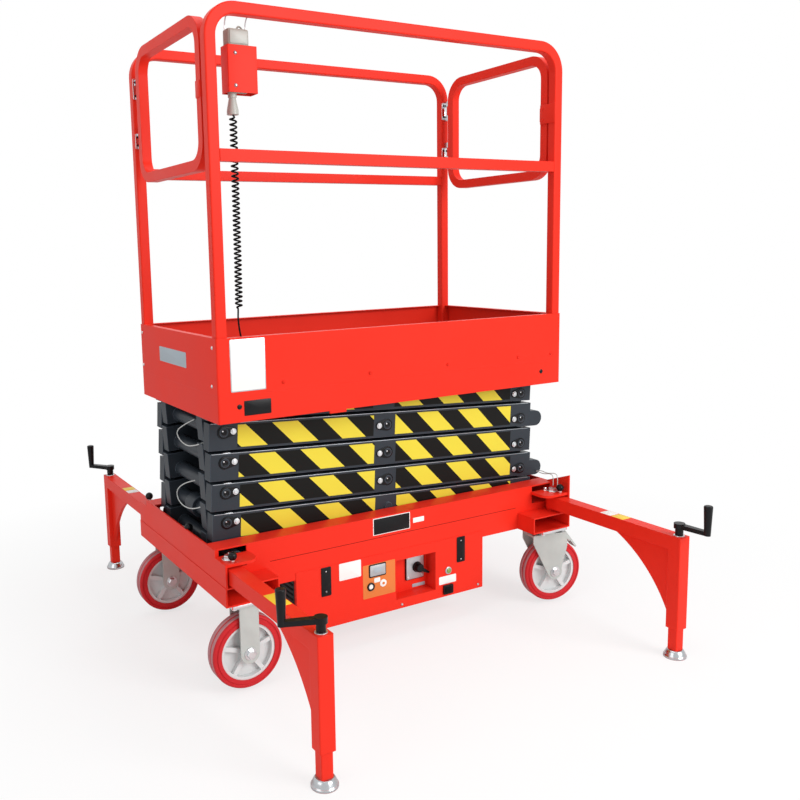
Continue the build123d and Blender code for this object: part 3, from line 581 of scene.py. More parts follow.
    def pipe(self, points: Sequence[Point], radius: float, finish: Finish) -> None:
        """Adds a bent round wire through a smooth line.

        Args:
            points: control points of the line.
            radius: of the wire.
            finish: what it gets.
        """
        data = spline_curve("pipe", points)
        data.bevel_depth, data.bevel_resolution, data.use_fill_caps = radius, 2, True
        self.merge(curve_mesh(data), finish, True)
        bpy.data.curves.remove(data)

    def heads(self, kind: Head, finish: Finish, radius: float, height: float, spots: Spots) -> None:
        """Adds a screw or rivet head of one radius and height at each spot."""
        made = kind.layout().run(spots, finish, Radius=radius, Height=height)
        self.merge(made, finish, kind is Head.RIVET)

    def made(self, name: str, body: str, slot: str) -> bpy.types.Object:
        """Turns the shape into a finished object that rides on a body.

        Args:
            name: the object's name.
            body: the CAD body it moves with.
            slot: the record's material slot; not used.

        Returns:
            The object.
        """
        data = bpy.data.meshes.new(name)
        self.mesh.to_mesh(data)
        self.mesh.free()
        for finish in self.finishes:
            data.materials.append(finish.material())
        made = bpy.data.objects.new(name, data)
        bpy.context.scene.collection.objects.link(made)
        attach(made, body)
        log.info("%s: %d faces on %s", name, len(data.polygons), body)
        return made


@dataclass
class Panel:
    """A flat face of the machine, square to an axis, that small things stand on."""

    shape: Shape  # what they are added to
    way: Point  # the face's outward direction
    level: float  # where the face lies along that axis

    def spot(self, u: float, v: float, proud: float = 0.0) -> Vector:
        """A place on the face.

        Args:
            u: its place along the first of the other two axes.
            v: its place along the second.
            proud: how far it stands out of the face.

        Returns:
            The place.
        """
        across = next(k for k in range(3) if self.way[k])
        place = [u, v]
        place.insert(across, self.level + proud * self.way[across])
        return Vector(place)

    def plate(
        self, finish: Finish, u: Point, v: Point, proud: float = 0.0, thick: float = 0.0006, corner: float = 0.003
    ) -> None:
        """Adds a flat rounded plate or label.

        Args:
            finish: what it gets.
            u: its two ends along the first axis.
            v: its two ends along the second.
            proud: how far out of the face it starts.
            thick: how far it stands out from there.
            corner: radius of its corners.
        """
        low, high = self.spot(u[0], v[0], proud), self.spot(u[1], v[1], proud)
        base = facing((low + high) / 2, self.way)
        span = base.to_3x3().inverted() @ (high - low)
        outline = rounded(abs(span.x) / 2, abs(span.y) / 2, corner)
        self.shape.prism(outline, base, thick, finish, min(thick * 0.4, 0.001))

    def turned(self, finish: Finish, u: float, v: float, proud: float, steps: int, profile: Profile) -> None:
        """Adds a turned part of that many faces whose axis stands square to the face."""
        self.shape.lathe(profile, facing(self.spot(u, v, proud), self.way), finish, steps)

    def heads(
        self, kind: Head, finish: Finish, radius: float, height: float, spots: Sequence[Point], proud: float = 0.0
    ) -> None:
        """Adds screw or rivet heads at places on the face."""
        self.shape.heads(kind, finish, radius, height, [(self.spot(*uv, proud), self.way) for uv in spots])


def spline_curve(name: str, points: Sequence[Point]) -> bpy.types.Curve:
    """A curve of one smooth open spline.

    Args:
        name: the curve's name.
        points: its control points.

    Returns:
        The curve, with no thickness yet.
    """
    data = bpy.data.curves.new(name, "CURVE")
    data.dimensions = "3D"
    spline = data.splines.new("NURBS")
    spline.points.add(len(points) - 1)
    for point, place in zip(spline.points, points):
        point.co = (*place, 1.0)
    spline.order_u = 3
    spline.use_endpoint_u = True
    spline.resolution_u = 4
    return data


def curve_mesh(data: bpy.types.Curve) -> bpy.types.Mesh:
    """Turns a curve into a mesh.

    Args:
        data: the curve, which stays.

    Returns:
        A new mesh, a line where the curve has no thickness.
    """
    holder = bpy.data.objects.new("held", data)
    bpy.context.scene.collection.objects.link(holder)
    bpy.context.view_layer.update()
    made = bpy.data.meshes.new_from_object(holder.evaluated_get(bpy.context.evaluated_depsgraph_get()))
    bpy.data.objects.remove(holder)
    return made


def curve_line(data: bpy.types.Curve) -> list[Vector]:
    """Points along a curve that has no thickness.

    Args:
        data: the curve.

    Returns:
        The points, in order.
    """
    line = curve_mesh(data)
    points = [v.co.copy() for v in line.vertices]
    bpy.data.meshes.remove(line)
    return points


def run_length(points: Sequence[Vector]) -> float:
    """Length of a line of points."""
    return sum((b - a).length for a, b in zip(points, points[1:]))


# ---------------------------------------------------------------------------- CAD nodes
class CadDress:
    """Gives every CAD node its finish."""

    BY_SLOT = {
        "red_paint": Finishes.PAINT,
        "stack_grey": Finishes.SATIN,
        "wheel_tread": Finishes.TREAD,
        "wheel_hub_grey": Finishes.HUB,
        "caster_zinc": Finishes.FORK,
        "black_plastic": Finishes.BLACK,
        "hard_chrome": Finishes.CHROME,
        "zinc_plate": Finishes.ZINC,
        "deck_steel": Finishes.DECK,
        "pendant_grey": Finishes.GREY,
    }
    BY_NODE = {"pendant_connector": Finishes.CLEAR}

    def build(self) -> None:
        """Puts each node's finish in its material slots."""
        wanted = {row["node"]: row["material_slot"] for row in frame["record"]["subparts"]}
        for name, node in frame["nodes"].items():
            material = self.BY_NODE.get(name, self.BY_SLOT[wanted[name]]).material()
            for slot in node.material_slots:
                slot.material = material
        log.info("%d nodes dressed", len(frame["nodes"]))


# ---------------------------------------------------------------------------- curly cord
@dataclass
class CurlyCord:
    """The hung control's curly cord: a coil under the plug, then a lead down to the deck."""

    route: tuple[Point, ...] = (  # from the plug to the gland
        (-0.492, -0.2455, 1.494), (-0.492, -0.2455, 1.0085), (-0.4985, -0.2455, 0.9785), (-0.4925, -0.2455, 0.936),
        (-0.4835, -0.2455, 0.893), (-0.4765, -0.2455, 0.849), (-0.4765, -0.2455, 0.8155),
    )  # fmt: skip
    coil_top: float = 1.489
    coil_foot: float = 1.0085
    radius: float = 0.0082  # of the turns' centre line
    wire: float = 0.0024  # radius of the wire
    first_pitch: float = 0.0130  # rise of the uppermost turn, which the weight below pulls open
    last_pitch: float = 0.0113  # rise of the lowest turn
    per_turn: int = 12  # points in one turn
    sleeve: Profile = (
        (0.0052, -0.002), (0.0052, 0.002), (0.0044, 0.006), (0.0048, 0.007), (0.0038, 0.014), (0.0042, 0.015),
        (0.0034, 0.026), (0.0029, 0.028),
    )  # fmt: skip

    def turns(self, line: Sequence[Vector]) -> list[Vector]:
        """Points of the helix round the upper part of the line.

        Args:
            line: points along the route.

        Returns:
            The helix's points, from the top down.
        """
        tall = self.coil_top - self.coil_foot
        middle = (self.first_pitch + self.last_pitch) / 2
        count = round(tall / middle * self.per_turn)
        points = []
        for k in range(count + 1):
            t = k / count
            sunk = (self.first_pitch * t + (self.last_pitch - self.first_pitch) * t * t / 2) / middle
            z = self.coil_top - tall * sunk
            near = min(line, key=lambda p: abs(p.z - z))
            reach = self.radius * min(1.0, 0.5 + k / 6, 0.35 + (count - k) / 8)
            angle = 2 * math.pi * k / self.per_turn
            points.append(Vector((near.x + reach * math.cos(angle), near.y + reach * math.sin(angle), z)))
        return points

    def build(self) -> None:
        guide = spline_curve("cord_route", self.route)
        helix = self.turns(curve_line(guide))
        bpy.data.curves.remove(guide)
        points = [Vector(self.route[0])] + helix + [Vector(p) for p in self.route[2:]]
        data = spline_curve("curly_cord_wire", points)
        length = run_length(curve_line(data))
        data.bevel_depth, data.bevel_resolution, data.use_fill_caps = self.wire, 3, True
        data.materials.append(Finishes.RUBBER.material())
        cord = bpy.data.objects.new("curly_cord_wire", data)
        bpy.context.scene.collection.objects.link(cord)
        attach(cord, "platform")
        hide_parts("curly_cord", "cord_lead")
        shape = Shape()
        shape.lathe(self.sleeve, Matrix.Translation(Vector(self.route[-1])), Finishes.BLACK, 20)
        relief = shape.made("cord_sleeve", "platform", "black_plastic")
        log.info("curly cord: %.3f m of wire, %d points", length, len(points))


# ---------------------------------------------------------------------------- scissor stack
@dataclass
class StackDress:
    """What sits on the outer arms, front and rear: one piece for each of the five stages."""

    name: str = ""
    slot: str = "stack_grey"
    face: float = 0.206  # how far out the arms' outer faces are
    pin_shift: float = 0.012  # how far an arm's end pins lie off its middle line

    def tilt(self) -> float:
        """Slope of the folded outer arms, falling to the right, in radians."""
        low, high, middle = (JOINTS[name]["pos_m"] for name in ("lift", "end_pivot_1", "centre_pivot_1"))
        return math.atan2(high[2] - low[2] - 2 * self.pin_shift, 2 * (low[0] - middle[0]))

    def dress(self, shape: Shape, stage: int, pivot: Point, side: int) -> None:
        """Adds one side of a stage's piece.

        Args:
            shape: what it is added to.
            stage: the stage, from 1 at the foot.
            pivot: the arms' middle pin.
            side: -1 for the front.
        """
        raise NotImplementedError

    def build(self) -> None:
        """Makes the five pieces."""
        for stage in STAGES:
            shape = Shape()
            for side in SIDES.values():
                self.dress(shape, stage, JOINTS[f"centre_pivot_{stage}"]["pos_m"], side)
            shape.made(f"{self.name}_{stage}", f"outer_arms_{stage}", self.slot)


@dataclass
class HazardRuns(StackDress):
    """Striped tapes, two on each arm."""

    name: str = "hazard_tapes"
    half: float = 0.0305  # half the tape's height
    thick: float = 0.0005
    lean: float = 1.1  # how far a stripe runs along the arm for each metre of its height
    turns_before: float = 20.0  # keeps every count above nought
    # start, end and stripe period of each tape, then the left edge of one light stripe on each stage
    tapes: tuple = (
        (-0.495, -0.060, 0.159, (-0.107, -0.123, -0.148, -0.074, -0.11)),
        (0.016, 0.4655, 0.156, (-0.015, 0.047, 0.012, 0.250, 0.288)),
    )

    def dress(self, shape: Shape, stage: int, pivot: Point, side: int) -> None:
        """Lays both tapes of one arm, each with its stripe count.

        Args:
            shape: what they are added to.
            stage: the stage, from 1 at the foot.
            pivot: the arm's middle pin.
            side: -1 for the front.
        """
        slope = self.tilt()
        faces = [(0, 1, 2, 3), (4, 7, 6, 5), (0, 4, 5, 1), (1, 5, 6, 2), (2, 6, 7, 3), (3, 7, 4, 0)]
        for start, end, period, edges in self.tapes:
            corners, counts = [], []
            for out in (0.0, self.thick):
                for u, v in rectangle((start, end), (-self.half, self.half)):
                    along = u - pivot[0]
                    x = pivot[0] + along * math.cos(slope) + v * math.sin(slope)
                    z = pivot[2] - along * math.sin(slope) + v * math.cos(slope)
                    corners.append((x, side * (self.face + out), z))
                    seen = -side * u - edges[stage - 1] + self.lean * (v - self.half)
                    counts.append(seen / period + self.turns_before)
            made = bpy.data.meshes.new("tape")
            made.from_pydata(corners, [], faces if side < 0 else [face[::-1] for face in faces])
            made.attributes.new("stripe", "FLOAT", "POINT").data.foreach_set("value", counts)
            shape.merge(made, Finishes.TAPE, False)


@dataclass
class HighlightLinesAndShims(StackDress):
    """Painted highlight lines along the arms' upper edges, and the shims beside the left pins."""

    name: str = "highlight_lines_and_shims"
    half: float = 0.03695  # half the height of an arm
    line: float = 0.0017  # width of the painted highlight line
    proud: float = 0.00015
    run: Point = (-0.574, 0.540)  # where the line starts and ends along the arm
    last_run: Point = (-0.490, 0.480)  # the same on the top stage, whose ends come close under the deck
    shim: Point = (-0.541, -0.519)  # where the shim starts and ends, which the top stage hasn't
    shim_inset: Point = (0.001, 0.012)  # its two edges behind the arm's face
    shim_thick: float = 0.0016

    def dress(self, shape: Shape, stage: int, pivot: Point, side: int) -> None:
        """Adds one arm's line and shim.

        Args:
            shape: what they are added to.
            stage: the stage, from 1 at the foot.
            pivot: the arm's middle pin.
            side: -1 for the front.
        """
        turn = Matrix.Translation(pivot) @ Matrix.Rotation(self.tilt(), 4, "Y")
        out, last = self.face + self.proud, stage == len(STAGES)
        rows = [(self.last_run if last else self.run, (0.0, self.line), self.half + self.proud - self.line)]
        rows += [(self.shim, self.shim_inset, self.half)] * (not last)
        # the first row is the painted highlight line, the second the zinc shim
        for (run, inset, foot), thick, finish, bevel in zip(
            rows, (self.line, self.shim_thick), (Finishes.HIGHLIGHT_LINE, Finishes.ZINC), (0.0005, 0.0004)
        ):
            edges = sorted(side * (out - back) for back in inset)
            outline = rectangle([u - pivot[0] for u in run], edges)
            shape.prism(outline, turn @ Matrix.Translation((0, 0, foot)), thick, finish, bevel)


@dataclass
class PinKeepers(StackDress):
    """Flat keepers bolted over the ends of the pins."""

    name: str = "pin_keepers"
    slot: str = "zinc_plate"
    disc: float = 0.0175  # radius of a keeper round its pin
    ear: float = 0.011  # radius round its bolt
    reach: float = 0.028  # from the pin to the bolt
    thick: float = 0.003
    ring: Profile = ((0.0078, 0.0), (0.0078, 0.0052), (0.0068, 0.0056), (0.0054, 0.0052), (0.0048, 0.0046))
    clip: Profile = ((0.0022, 0.0), (0.0022, 0.0054), (0.0012, 0.0058))
    clip_offset: float = 0.004

    def outline(self, way: int) -> list[tuple[float, float]]:
        """Outline of one keeper about its pin.

        Args:
            way: 1 where the bolt sits at the plane's +X side.

        Returns:
            Its corners.
        """
        lean = math.acos((self.disc - self.ear) / self.reach)
        big = [lean + (2 * math.pi - 2 * lean) * k / 20 for k in range(21)]
        small = [-lean + 2 * lean * k / 8 for k in range(9)]
        points = [(self.disc * math.cos(a), self.disc * math.sin(a)) for a in big]
        points += [(self.reach + self.ear * math.cos(a), self.ear * math.sin(a)) for a in small]
        return [(way * x, y) for x, y in points]

    def dress(self, shape: Shape, stage: int, pivot: Point, side: int) -> None:
        """Fits one arm's keepers, with their rings and bolts.

        Args:
            shape: what they are added to.
            stage: the stage, from 1 at the foot.
            pivot: the arm's middle pin.
            side: -1 for the front.
        """
        low, rise = JOINTS["lift"]["pos_m"], JOINTS["end_pivot_1"]["pos_m"][2] - JOINTS["lift"]["pos_m"][2]
        pins = [(2 * pivot[0] - low[0], low[2] + rise * stage, 1)]
        if stage > 1:
            pins += [(pivot[0], pivot[2], -1), (low[0], low[2] + rise * (stage - 1), -1)]
        panel = Panel(shape, (0, side, 0), side * self.face)
        for x, z, towards in pins:
            base = facing(panel.spot(x, z), panel.way)
            shape.prism(self.outline(towards * -side), base, self.thick, Finishes.BLACK, 0.0006)
            shape.lathe(self.ring, base, Finishes.BLACK, 24)
            off = Matrix.Translation((self.clip_offset * side, self.clip_offset, 0))
            shape.lathe(self.clip, base @ off, Finishes.ZINC, 12)
            panel.heads(Head.HEX, Finishes.ZINC, 0.0062, 0.0032, [(x + towards * self.reach, z)], self.thick)


@dataclass
class Wires:
    """Slack of the thin wires at both ends of the stack."""

    radius: float = 0.0016
    loops: tuple = (  # the body that each loop rides on and the points it runs through
        ("inner_arms_3", (
            (-0.552, -0.040, 0.513), (-0.566, 0.000, 0.503), (-0.584, 0.044, 0.474), (-0.590, 0.020, 0.447),
            (-0.592, -0.050, 0.441), (-0.584, -0.110, 0.452), (-0.566, -0.146, 0.472), (-0.548, -0.150, 0.482),
        )),
        ("inner_arms_5", (
            (-0.552, -0.042, 0.690), (-0.570, -0.030, 0.680), (-0.584, 0.026, 0.650), (-0.588, -0.010, 0.630),
            (-0.590, -0.075, 0.624), (-0.586, -0.125, 0.634), (-0.568, -0.150, 0.645), (-0.548, -0.152, 0.652),
        )),
    )  # fmt: skip
    thin: float = 0.0014  # radius of the wires behind the right end plate
    slack: tuple[Point, ...] = (
        (0.556, -0.130, 0.372), (0.570, -0.160, 0.388), (0.580, -0.195, 0.404), (0.583, -0.222, 0.414),
        (0.584, -0.255, 0.409), (0.584, -0.287, 0.418), (0.580, -0.306, 0.4125), (0.572, -0.312, 0.385),
    )  # fmt: skip
    shifts: tuple[Point, ...] = ((0.0, 0.0, 0.0), (-0.0025, 0.017, -0.005))  # of each wire from that line

    def build(self) -> None:
        """Hangs the loops on the arms and lays the wires on the chassis."""
        for number, (body, points) in enumerate(self.loops, 1):
            shape = Shape()
            shape.pipe(points, self.radius, Finishes.WIRE)
            shape.made(f"wire_loop_{number}", body, "zinc_plate")
        shape = Shape()
        for shift in self.shifts:
            shape.pipe([Vector(p) + Vector(shift) for p in self.slack], self.thin, Finishes.WIRE)
        shape.made("slack_wires", "chassis", "zinc_plate")


# ---------------------------------------------------------------------------- chassis
@dataclass
class ChassisFittings:
    """Bolted plates, plungers, the hand lever and screws of the chassis."""

    plate: Point = (0.053, 0.047)  # half the size of a caster's mounting plate
    plate_y: float = 0.300  # of the plates' middles
    plate_foot: float = 0.24405
    plate_thick: float = 0.00805
    bolt_inset: float = 0.011  # from the plate's edge to a bolt
    pocket_top: float = 0.3652
    screw: Point = (-0.012, 0.278)  # the small screw, from its swing pin along X and out along Y
    plunger: Point = (0.003, 0.330)  # the same for the plunger
    plunger_ball: Point = (0.012, 0.3815)  # radius and height of its middle
    lever_hub: Point = (0.0065, -0.020, 0.372)  # from the end beam's outer face along X, then Y and Z
    lever_tip: Point = (-0.057, 0.385)
    lever_ball: float = 0.0125

    def caster_plates(self) -> None:
        """Dresses the four casters' mounting plates and their bolts."""
        shape = Shape()
        under = Panel(shape, DOWN, self.plate_foot)
        dx, dy = (half - self.bolt_inset for half in self.plate)
        for end, side in CORNERS:
            x = JOINTS[f"wheel_left_{side}_spin" if end == "left" else f"swivel_{side}_turn"]["pos_m"][0]
            y = SIDES[side] * self.plate_y
            base = Matrix.Translation((x, y, self.plate_foot))
            shape.prism(rounded(*self.plate, 0.006), base, self.plate_thick, Finishes.ZINC, 0.001)
            spots = [(x + sx * dx, y + sy * dy) for sx in (-1, 1) for sy in (-1, 1)]
            under.heads(Head.HEX, Finishes.ZINC, 0.0068, 0.006, spots)
        shape.made("caster_plates", "chassis", "zinc_plate")

    def swing_pins(self) -> None:
        """Caps the outriggers' pins and adds the screws and plungers beside them."""
        shape = Shape()
        top = Panel(shape, UP, self.pocket_top)
        for end, side in CORNERS:
            pin, way, lean = JOINTS[f"outrigger_{end}_{side}_swing"]["pos_m"], SIDES[side], ENDS[end]
            top.heads(Head.HEX, Finishes.ZINC, 0.0136, 0.0096, [pin[:2]])
            near = (pin[0] + lean * self.screw[0], way * self.screw[1])
            top.heads(Head.CAP, Finishes.CHROME, 0.0062, 0.0085, [near])
            foot = (pin[0] + lean * self.plunger[0], way * self.plunger[1])
            shape.stem(top.spot(*foot), top.spot(*foot, 0.010), 0.0062, Finishes.CHROME)
            shape.ball((*foot, self.plunger_ball[1]), self.plunger_ball[0], Finishes.BLACK)
        shape.made("pocket_fittings", "chassis", "zinc_plate")

    def lever(self) -> None:
        """Fits the hand lever inside the left end plate."""
        shape = Shape()
        hub = Vector(self.lever_hub) + Vector((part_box("end_beam_left")[0].x, 0, 0))
        elbow = hub + Vector((0.008, 0, 0))
        tip = (elbow.x, *self.lever_tip)
        shape.stem(hub, hub + Vector((0.014, 0, 0)), 0.009, Finishes.ZINC, 20)
        shape.stem(elbow, tip, 0.0035, Finishes.CHROME)
        shape.ball(tip, self.lever_ball, Finishes.BLACK)
        shape.made("descent_lever", "chassis", "black_plastic")

    def screws(self) -> None:
        """Adds the screws of the housing's cover."""
        shape = Shape()
        low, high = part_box("power_unit_housing")
        spots = [(x, low.z + 0.012) for x in (low.x + 0.018, -0.012, high.x - 0.018)]
        for way, face in ((-1, HousingPanel.face), (1, high.y)):
            Panel(shape, (0, way, 0), face).heads(Head.RIVET, Finishes.ZINC, 0.0048, 0.0028, spots)
        shape.made("chassis_screws", "chassis", "zinc_plate")

    def build(self) -> None:
        """Makes every fitting of the chassis."""
        self.caster_plates()
        self.swing_pins()
        self.lever()
        self.screws()


@dataclass
class WheelFittings:
    """Tread bands, axle nuts and brake pedals of the casters."""

    radius: float = 0.100  # of the tyres
    band: float = 0.0165  # half the width of the worn band
    groove: float = 0.0022  # half the width of the line round its middle
    proud: float = 0.0004  # how far it stands over the tyre
    sunk: float = 0.003  # how far its edges reach into the tyre
    slant: float = 0.0006  # width of its sloping edges
    nut_out: float = 0.0342  # from the wheel's middle to the fork's outer face
    pedal: Profile = ((0.0, 0.014), (0.034, 0.012), (0.044, -0.004), (0.040, -0.008), (0.028, 0.004), (0.0, 0.005))
    pedal_place: Point = (0.020, -0.021, 0.206)  # behind the wheel's middle, along its axis, and its height
    pedal_wide: float = 0.042

    def bands(self) -> None:
        """Puts the worn bands on the tyres."""
        over, under = self.radius + self.proud, self.radius - self.sunk
        for end, side in CORNERS:
            row = JOINTS[f"wheel_{end}_{side}_spin"]
            base = facing(row["pos_m"], row["axis"], (0.1, 0, 1))
            shape = Shape()
            for low, high in ((-self.band, -self.groove), (self.groove, self.band)):
                profile = [(under, low), (over, low + self.slant), (over, high - self.slant), (under, high)]
                shape.lathe(profile, base, Finishes.BAND, 72, hoop=True)
            shape.made(f"tread_bands_{end}_{side}", f"wheel_{end}_{side}", "wheel_tread")

    def axles(self) -> None:
        """Fits the axle nuts to the forks."""
        for end, side in CORNERS:
            row = JOINTS[f"wheel_{end}_{side}_spin"]
            middle, axis = Vector(row["pos_m"]), Vector(row["axis"]).normalized()
            shape = Shape()
            spots = [(middle + way * axis * self.nut_out, way * axis) for way in (-1, 1)]
            shape.heads(Head.HEX, Finishes.ZINC, 0.0125, 0.0105, spots)
            shape.made(f"axle_nuts_{end}_{side}", row["parent"], "zinc_plate")

    def pedals(self) -> None:
        """Fits the brake pedals behind the swivel casters."""
        back, along, height = self.pedal_place
        for side in SIDES:
            wheel = JOINTS[f"wheel_right_{side}_spin"]
            axis = Vector(wheel["axis"]).normalized()
            across = Vector(UP).cross(axis)
            sign = math.copysign(1.0, across.x)
            middle = Vector((*wheel["pos_m"][:2], height))
            base = facing(middle + back * sign * across + along * axis, axis)
            shape = Shape()
            outline = [(sign * x, y) for x, y in self.pedal]
            shape.prism(outline, base, self.pedal_wide, Finishes.FORK, 0.001)
            shape.made(f"brake_pedal_{side}", f"swivel_{side}", "caster_zinc")

    def build(self) -> None:
        """Makes every fitting of the casters."""
        self.bands()
        self.axles()
        self.pedals()


@dataclass
class OutriggerFittings:
    """Feet, crank washers and blank stickers of the outriggers."""

    arm_top: float = 0.3512  # height of the swing arms' upper faces
    dome: Profile = (
        (0.0306, 0.0), (0.0314, 0.0008), (0.0314, 0.005), (0.0299, 0.0065), (0.0285, 0.0095), (0.0262, 0.0150),
        (0.0240, 0.0188), (0.0218, 0.0215), (0.0198, 0.0221),
    )  # fmt: skip
    washer: Profile = ((0.0148, 0.0), (0.0148, 0.0016), (0.0142, 0.0022))
    sticker: float = 0.018  # half the width of a sticker
    # corner, then where a sticker starts and ends along Y, and its finish
    stickers: tuple = (
        ("left_front", -0.618, -0.540, Finishes.YELLOW),
        ("right_front", -0.604, -0.560, Finishes.YELLOW),
        ("right_front", -0.557, -0.517, Finishes.WHITE),
        ("left_rear", 0.505, 0.540, Finishes.WHITE),
        ("left_rear", 0.542, 0.580, Finishes.YELLOW),
    )

    def build(self) -> None:
        """Makes every fitting of the outriggers."""
        for corner in (f"{end}_{side}" for end, side in CORNERS):
            low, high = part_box(f"jack_leg_{corner}")
            x, y = (low.x + high.x) / 2, (low.y + high.y) / 2
            foot = Shape()
            foot.lathe(self.dome, Matrix.Translation((x, y, 0)), Finishes.FOOT, 48)
            foot.made(f"foot_{corner}", f"jack_leg_{corner}", "zinc_plate")
            trim = Shape()
            top = Panel(trim, UP, self.arm_top)
            trim.lathe(self.washer, Matrix.Translation(top.spot(x, y)), Finishes.ZINC, 28)
            pin = JOINTS[f"outrigger_{corner}_swing"]["pos_m"]
            for place, start, end, finish in self.stickers:
                if place == corner:
                    share = ((start + end) / 2 - pin[1]) / (y - pin[1])
                    middle = pin[0] + (x - pin[0]) * share
                    wide = (middle - self.sticker, middle + self.sticker)
                    top.plate(finish, wide, (start, end), 0.0, 0.0005, 0.002)
            trim.made(f"outrigger_trim_{corner}", f"outrigger_{corner}", "zinc_plate")


@dataclass
class HousingPanel:
    """Cover, grille, labels, gauge, lamp, socket and switch of the power unit, and the plates on the rails.

    The plates' rows are: finish, ends along X, ends along Z, how far out they start, thickness and corner.
    The turned parts' rows are: finish, X, Z, how far out they start, faces round the axis and profile.
    """

    face: float = -0.2735  # the cover's outer face
    sheet: float = 0.0052  # the cover's thickness
    cuts_x: Point = (-0.365, -0.033, 0.112, 0.295)  # left edge, window's sides and right edge of the cover
    cuts_z: Point = (0.0905, 0.120, 0.240, 0.2725)  # bottom edge, window's edges and top edge
    slats: int = 9
    first_slat: float = 0.114
    slat_rise: float = 0.0145
    grips: Point = (-0.2705, 0.2085)  # X of the rivets on the two black plates
    plates: tuple = (
        (Finishes.BLACK, (-0.286, -0.254), (0.186, 0.2705), 0.0, 0.002, 0.003),
        (Finishes.BLACK, (0.193, 0.224), (0.190, 0.2705), 0.0, 0.002, 0.003),
        (Finishes.WHITE, (-0.227, -0.154), (0.220, 0.2705), 0.0, 0.0006, 0.003),
        (Finishes.ORANGE, (-0.148, -0.036), (0.147, 0.248), 0.0, 0.0006, 0.003),
        (Finishes.WHITE, (0.125, 0.190), (0.131, 0.156), 0.0, 0.0006, 0.003),
        (Finishes.BLACK, (-0.128, -0.069), (0.208, 0.247), 0.0006, 0.002, 0.004),
        (Finishes.SILVER, (-0.125, -0.072), (0.212, 0.244), 0.0026, 0.0015, 0.003),
        (Finishes.PALE, (-0.112, -0.084), (0.222, 0.236), 0.0041, 0.0005, 0.002),
        (Finishes.WHITE, (-0.110, -0.089), (0.190, 0.204), 0.0006, 0.0004, 0.003),
        (Finishes.BLACK, (0.140, 0.176), (0.0985, 0.1275), 0.0, 0.006, 0.003),
        (Finishes.RUBBER, (0.145, 0.171), (0.1035, 0.1225), 0.006, 0.003, 0.003),
    )
    knobs: tuple = (  # finish, X, Z, how far out it starts, steps and profile
        (Finishes.BLACK, -0.122, 0.181, 0.0006, 28,
         ((0.0125, 0), (0.0125, 0.003), (0.0105, 0.004), (0.0085, 0.003), (0.0078, 0.0012))),
        (Finishes.WHITE, -0.079, 0.184, 0.0006, 28,
         ((0.0112, 0), (0.0112, 0.0016), (0.0102, 0.0024), (0, 0.0028))),
        (Finishes.WHITE, -0.122, 0.181, 0.0006, 24, ((0.0072, 0), (0.0072, 0.0022), (0.0064, 0.003))),
        (Finishes.ORANGE, -0.079, 0.184, 0.0006, 20, ((0.0042, 0), (0.0042, 0.0034), (0.0036, 0.004))),
        (Finishes.SILVER, 0.160, 0.172, 0.0, 28, ((0.0115, 0), (0.0115, 0.0022), (0.0098, 0.0032))),
        (Finishes.GREEN, 0.160, 0.172, 0.0, 24,
         ((0.0078, 0.003), (0.0072, 0.0052), (0.0045, 0.0068), (0, 0.0074))),
    )  # fmt: skip
    recess_back: float = -0.226
    switch: Point = (0.066, 0.190)  # middle of the rotary switch's plate
    switch_parts: tuple = (  # finish, half width, half height, how far out it starts, thickness and corner
        (Finishes.BLACK, 0.034, 0.039, 0.0, 0.005, 0.004),
        (Finishes.SILVER, 0.032, 0.037, 0.005, 0.0015, 0.003),
    )
    hub: Point = (0.072, 0.189)  # middle of its knob
    tip: Point = (0.106, 0.169)  # end of its lever
    knob: Profile = ((0.0165, 0), (0.0165, 0.004), (0.0145, 0.006), (0.0135, 0.019), (0.0118, 0.0215))
    rail_plates: tuple = (
        (Finishes.WHITE, (-0.110, 0.020), (0.331, 0.3815), 0.0, 0.0006, 0.002),
        (Finishes.BLACK, (-0.1075, 0.0175), (0.333, 0.3795), 0.0006, 0.0004, 0.001),
        (Finishes.WHITE, (0.031, 0.071), (0.345, 0.360), 0.0, 0.0005, 0.001),
    )

    def cover(self) -> None:
        """Lays the cover over the front, with a window for the recess, and on its left a black slatted grille that
        paints the shade on the housing's left face.
        """
        part = bmesh.new()
        back = self.face + self.sheet
        grid = [[part.verts.new((x, back, z)) for z in self.cuts_z] for x in self.cuts_x]
        cells = [(i, j) for i in range(3) for j in range(3) if (i, j) != (1, 1)]
        corners = [(grid[i][j], grid[i + 1][j], grid[i + 1][j + 1], grid[i][j + 1]) for i, j in cells]
        sheet = [part.faces.new(face) for face in corners]
        grown = bmesh.ops.extrude_face_region(part, geom=sheet)["geom"]
        moved = [v for v in grown if isinstance(v, bmesh.types.BMVert)]
        bmesh.ops.translate(part, vec=(0, self.face - back, 0), verts=moved)
        shape = Shape()
        shape.take(part, Finishes.PAINT)
        shape.made("power_unit_cover", "chassis", "red_paint")
        # painted shade: a black plate with dark slats darkens the housing's left face
        shade_slats = Shape()
        panel = Panel(shade_slats, LEFT, self.cuts_x[0])
        panel.plate(Finishes.BLACK, (-0.262, -0.130), (0.104, 0.246), 0.0, 0.0015, 0.004)
        for k in range(self.slats):
            z = self.first_slat + self.slat_rise * k
            panel.plate(Finishes.RUBBER, (-0.256, -0.136), (z, z + 0.006), 0.0015, 0.002)
        shade_slats.made("side_plate_painted_shade", "chassis", "black_plastic")

    def front(self) -> None:
        """Lays out the cover's plates, gauge, lamp and socket."""
        shape = Shape()
        panel = Panel(shape, AHEAD, self.face)
        for row in self.plates:
            panel.plate(*row)
        for x in self.grips:
            panel.heads(Head.RIVET, Finishes.ZINC, 0.0028, 0.0012, [(x, 0.199), (x, 0.258)], 0.002)
        for row in self.knobs:
            panel.turned(*row)
        shape.made("power_unit_panel", "chassis", "black_plastic")

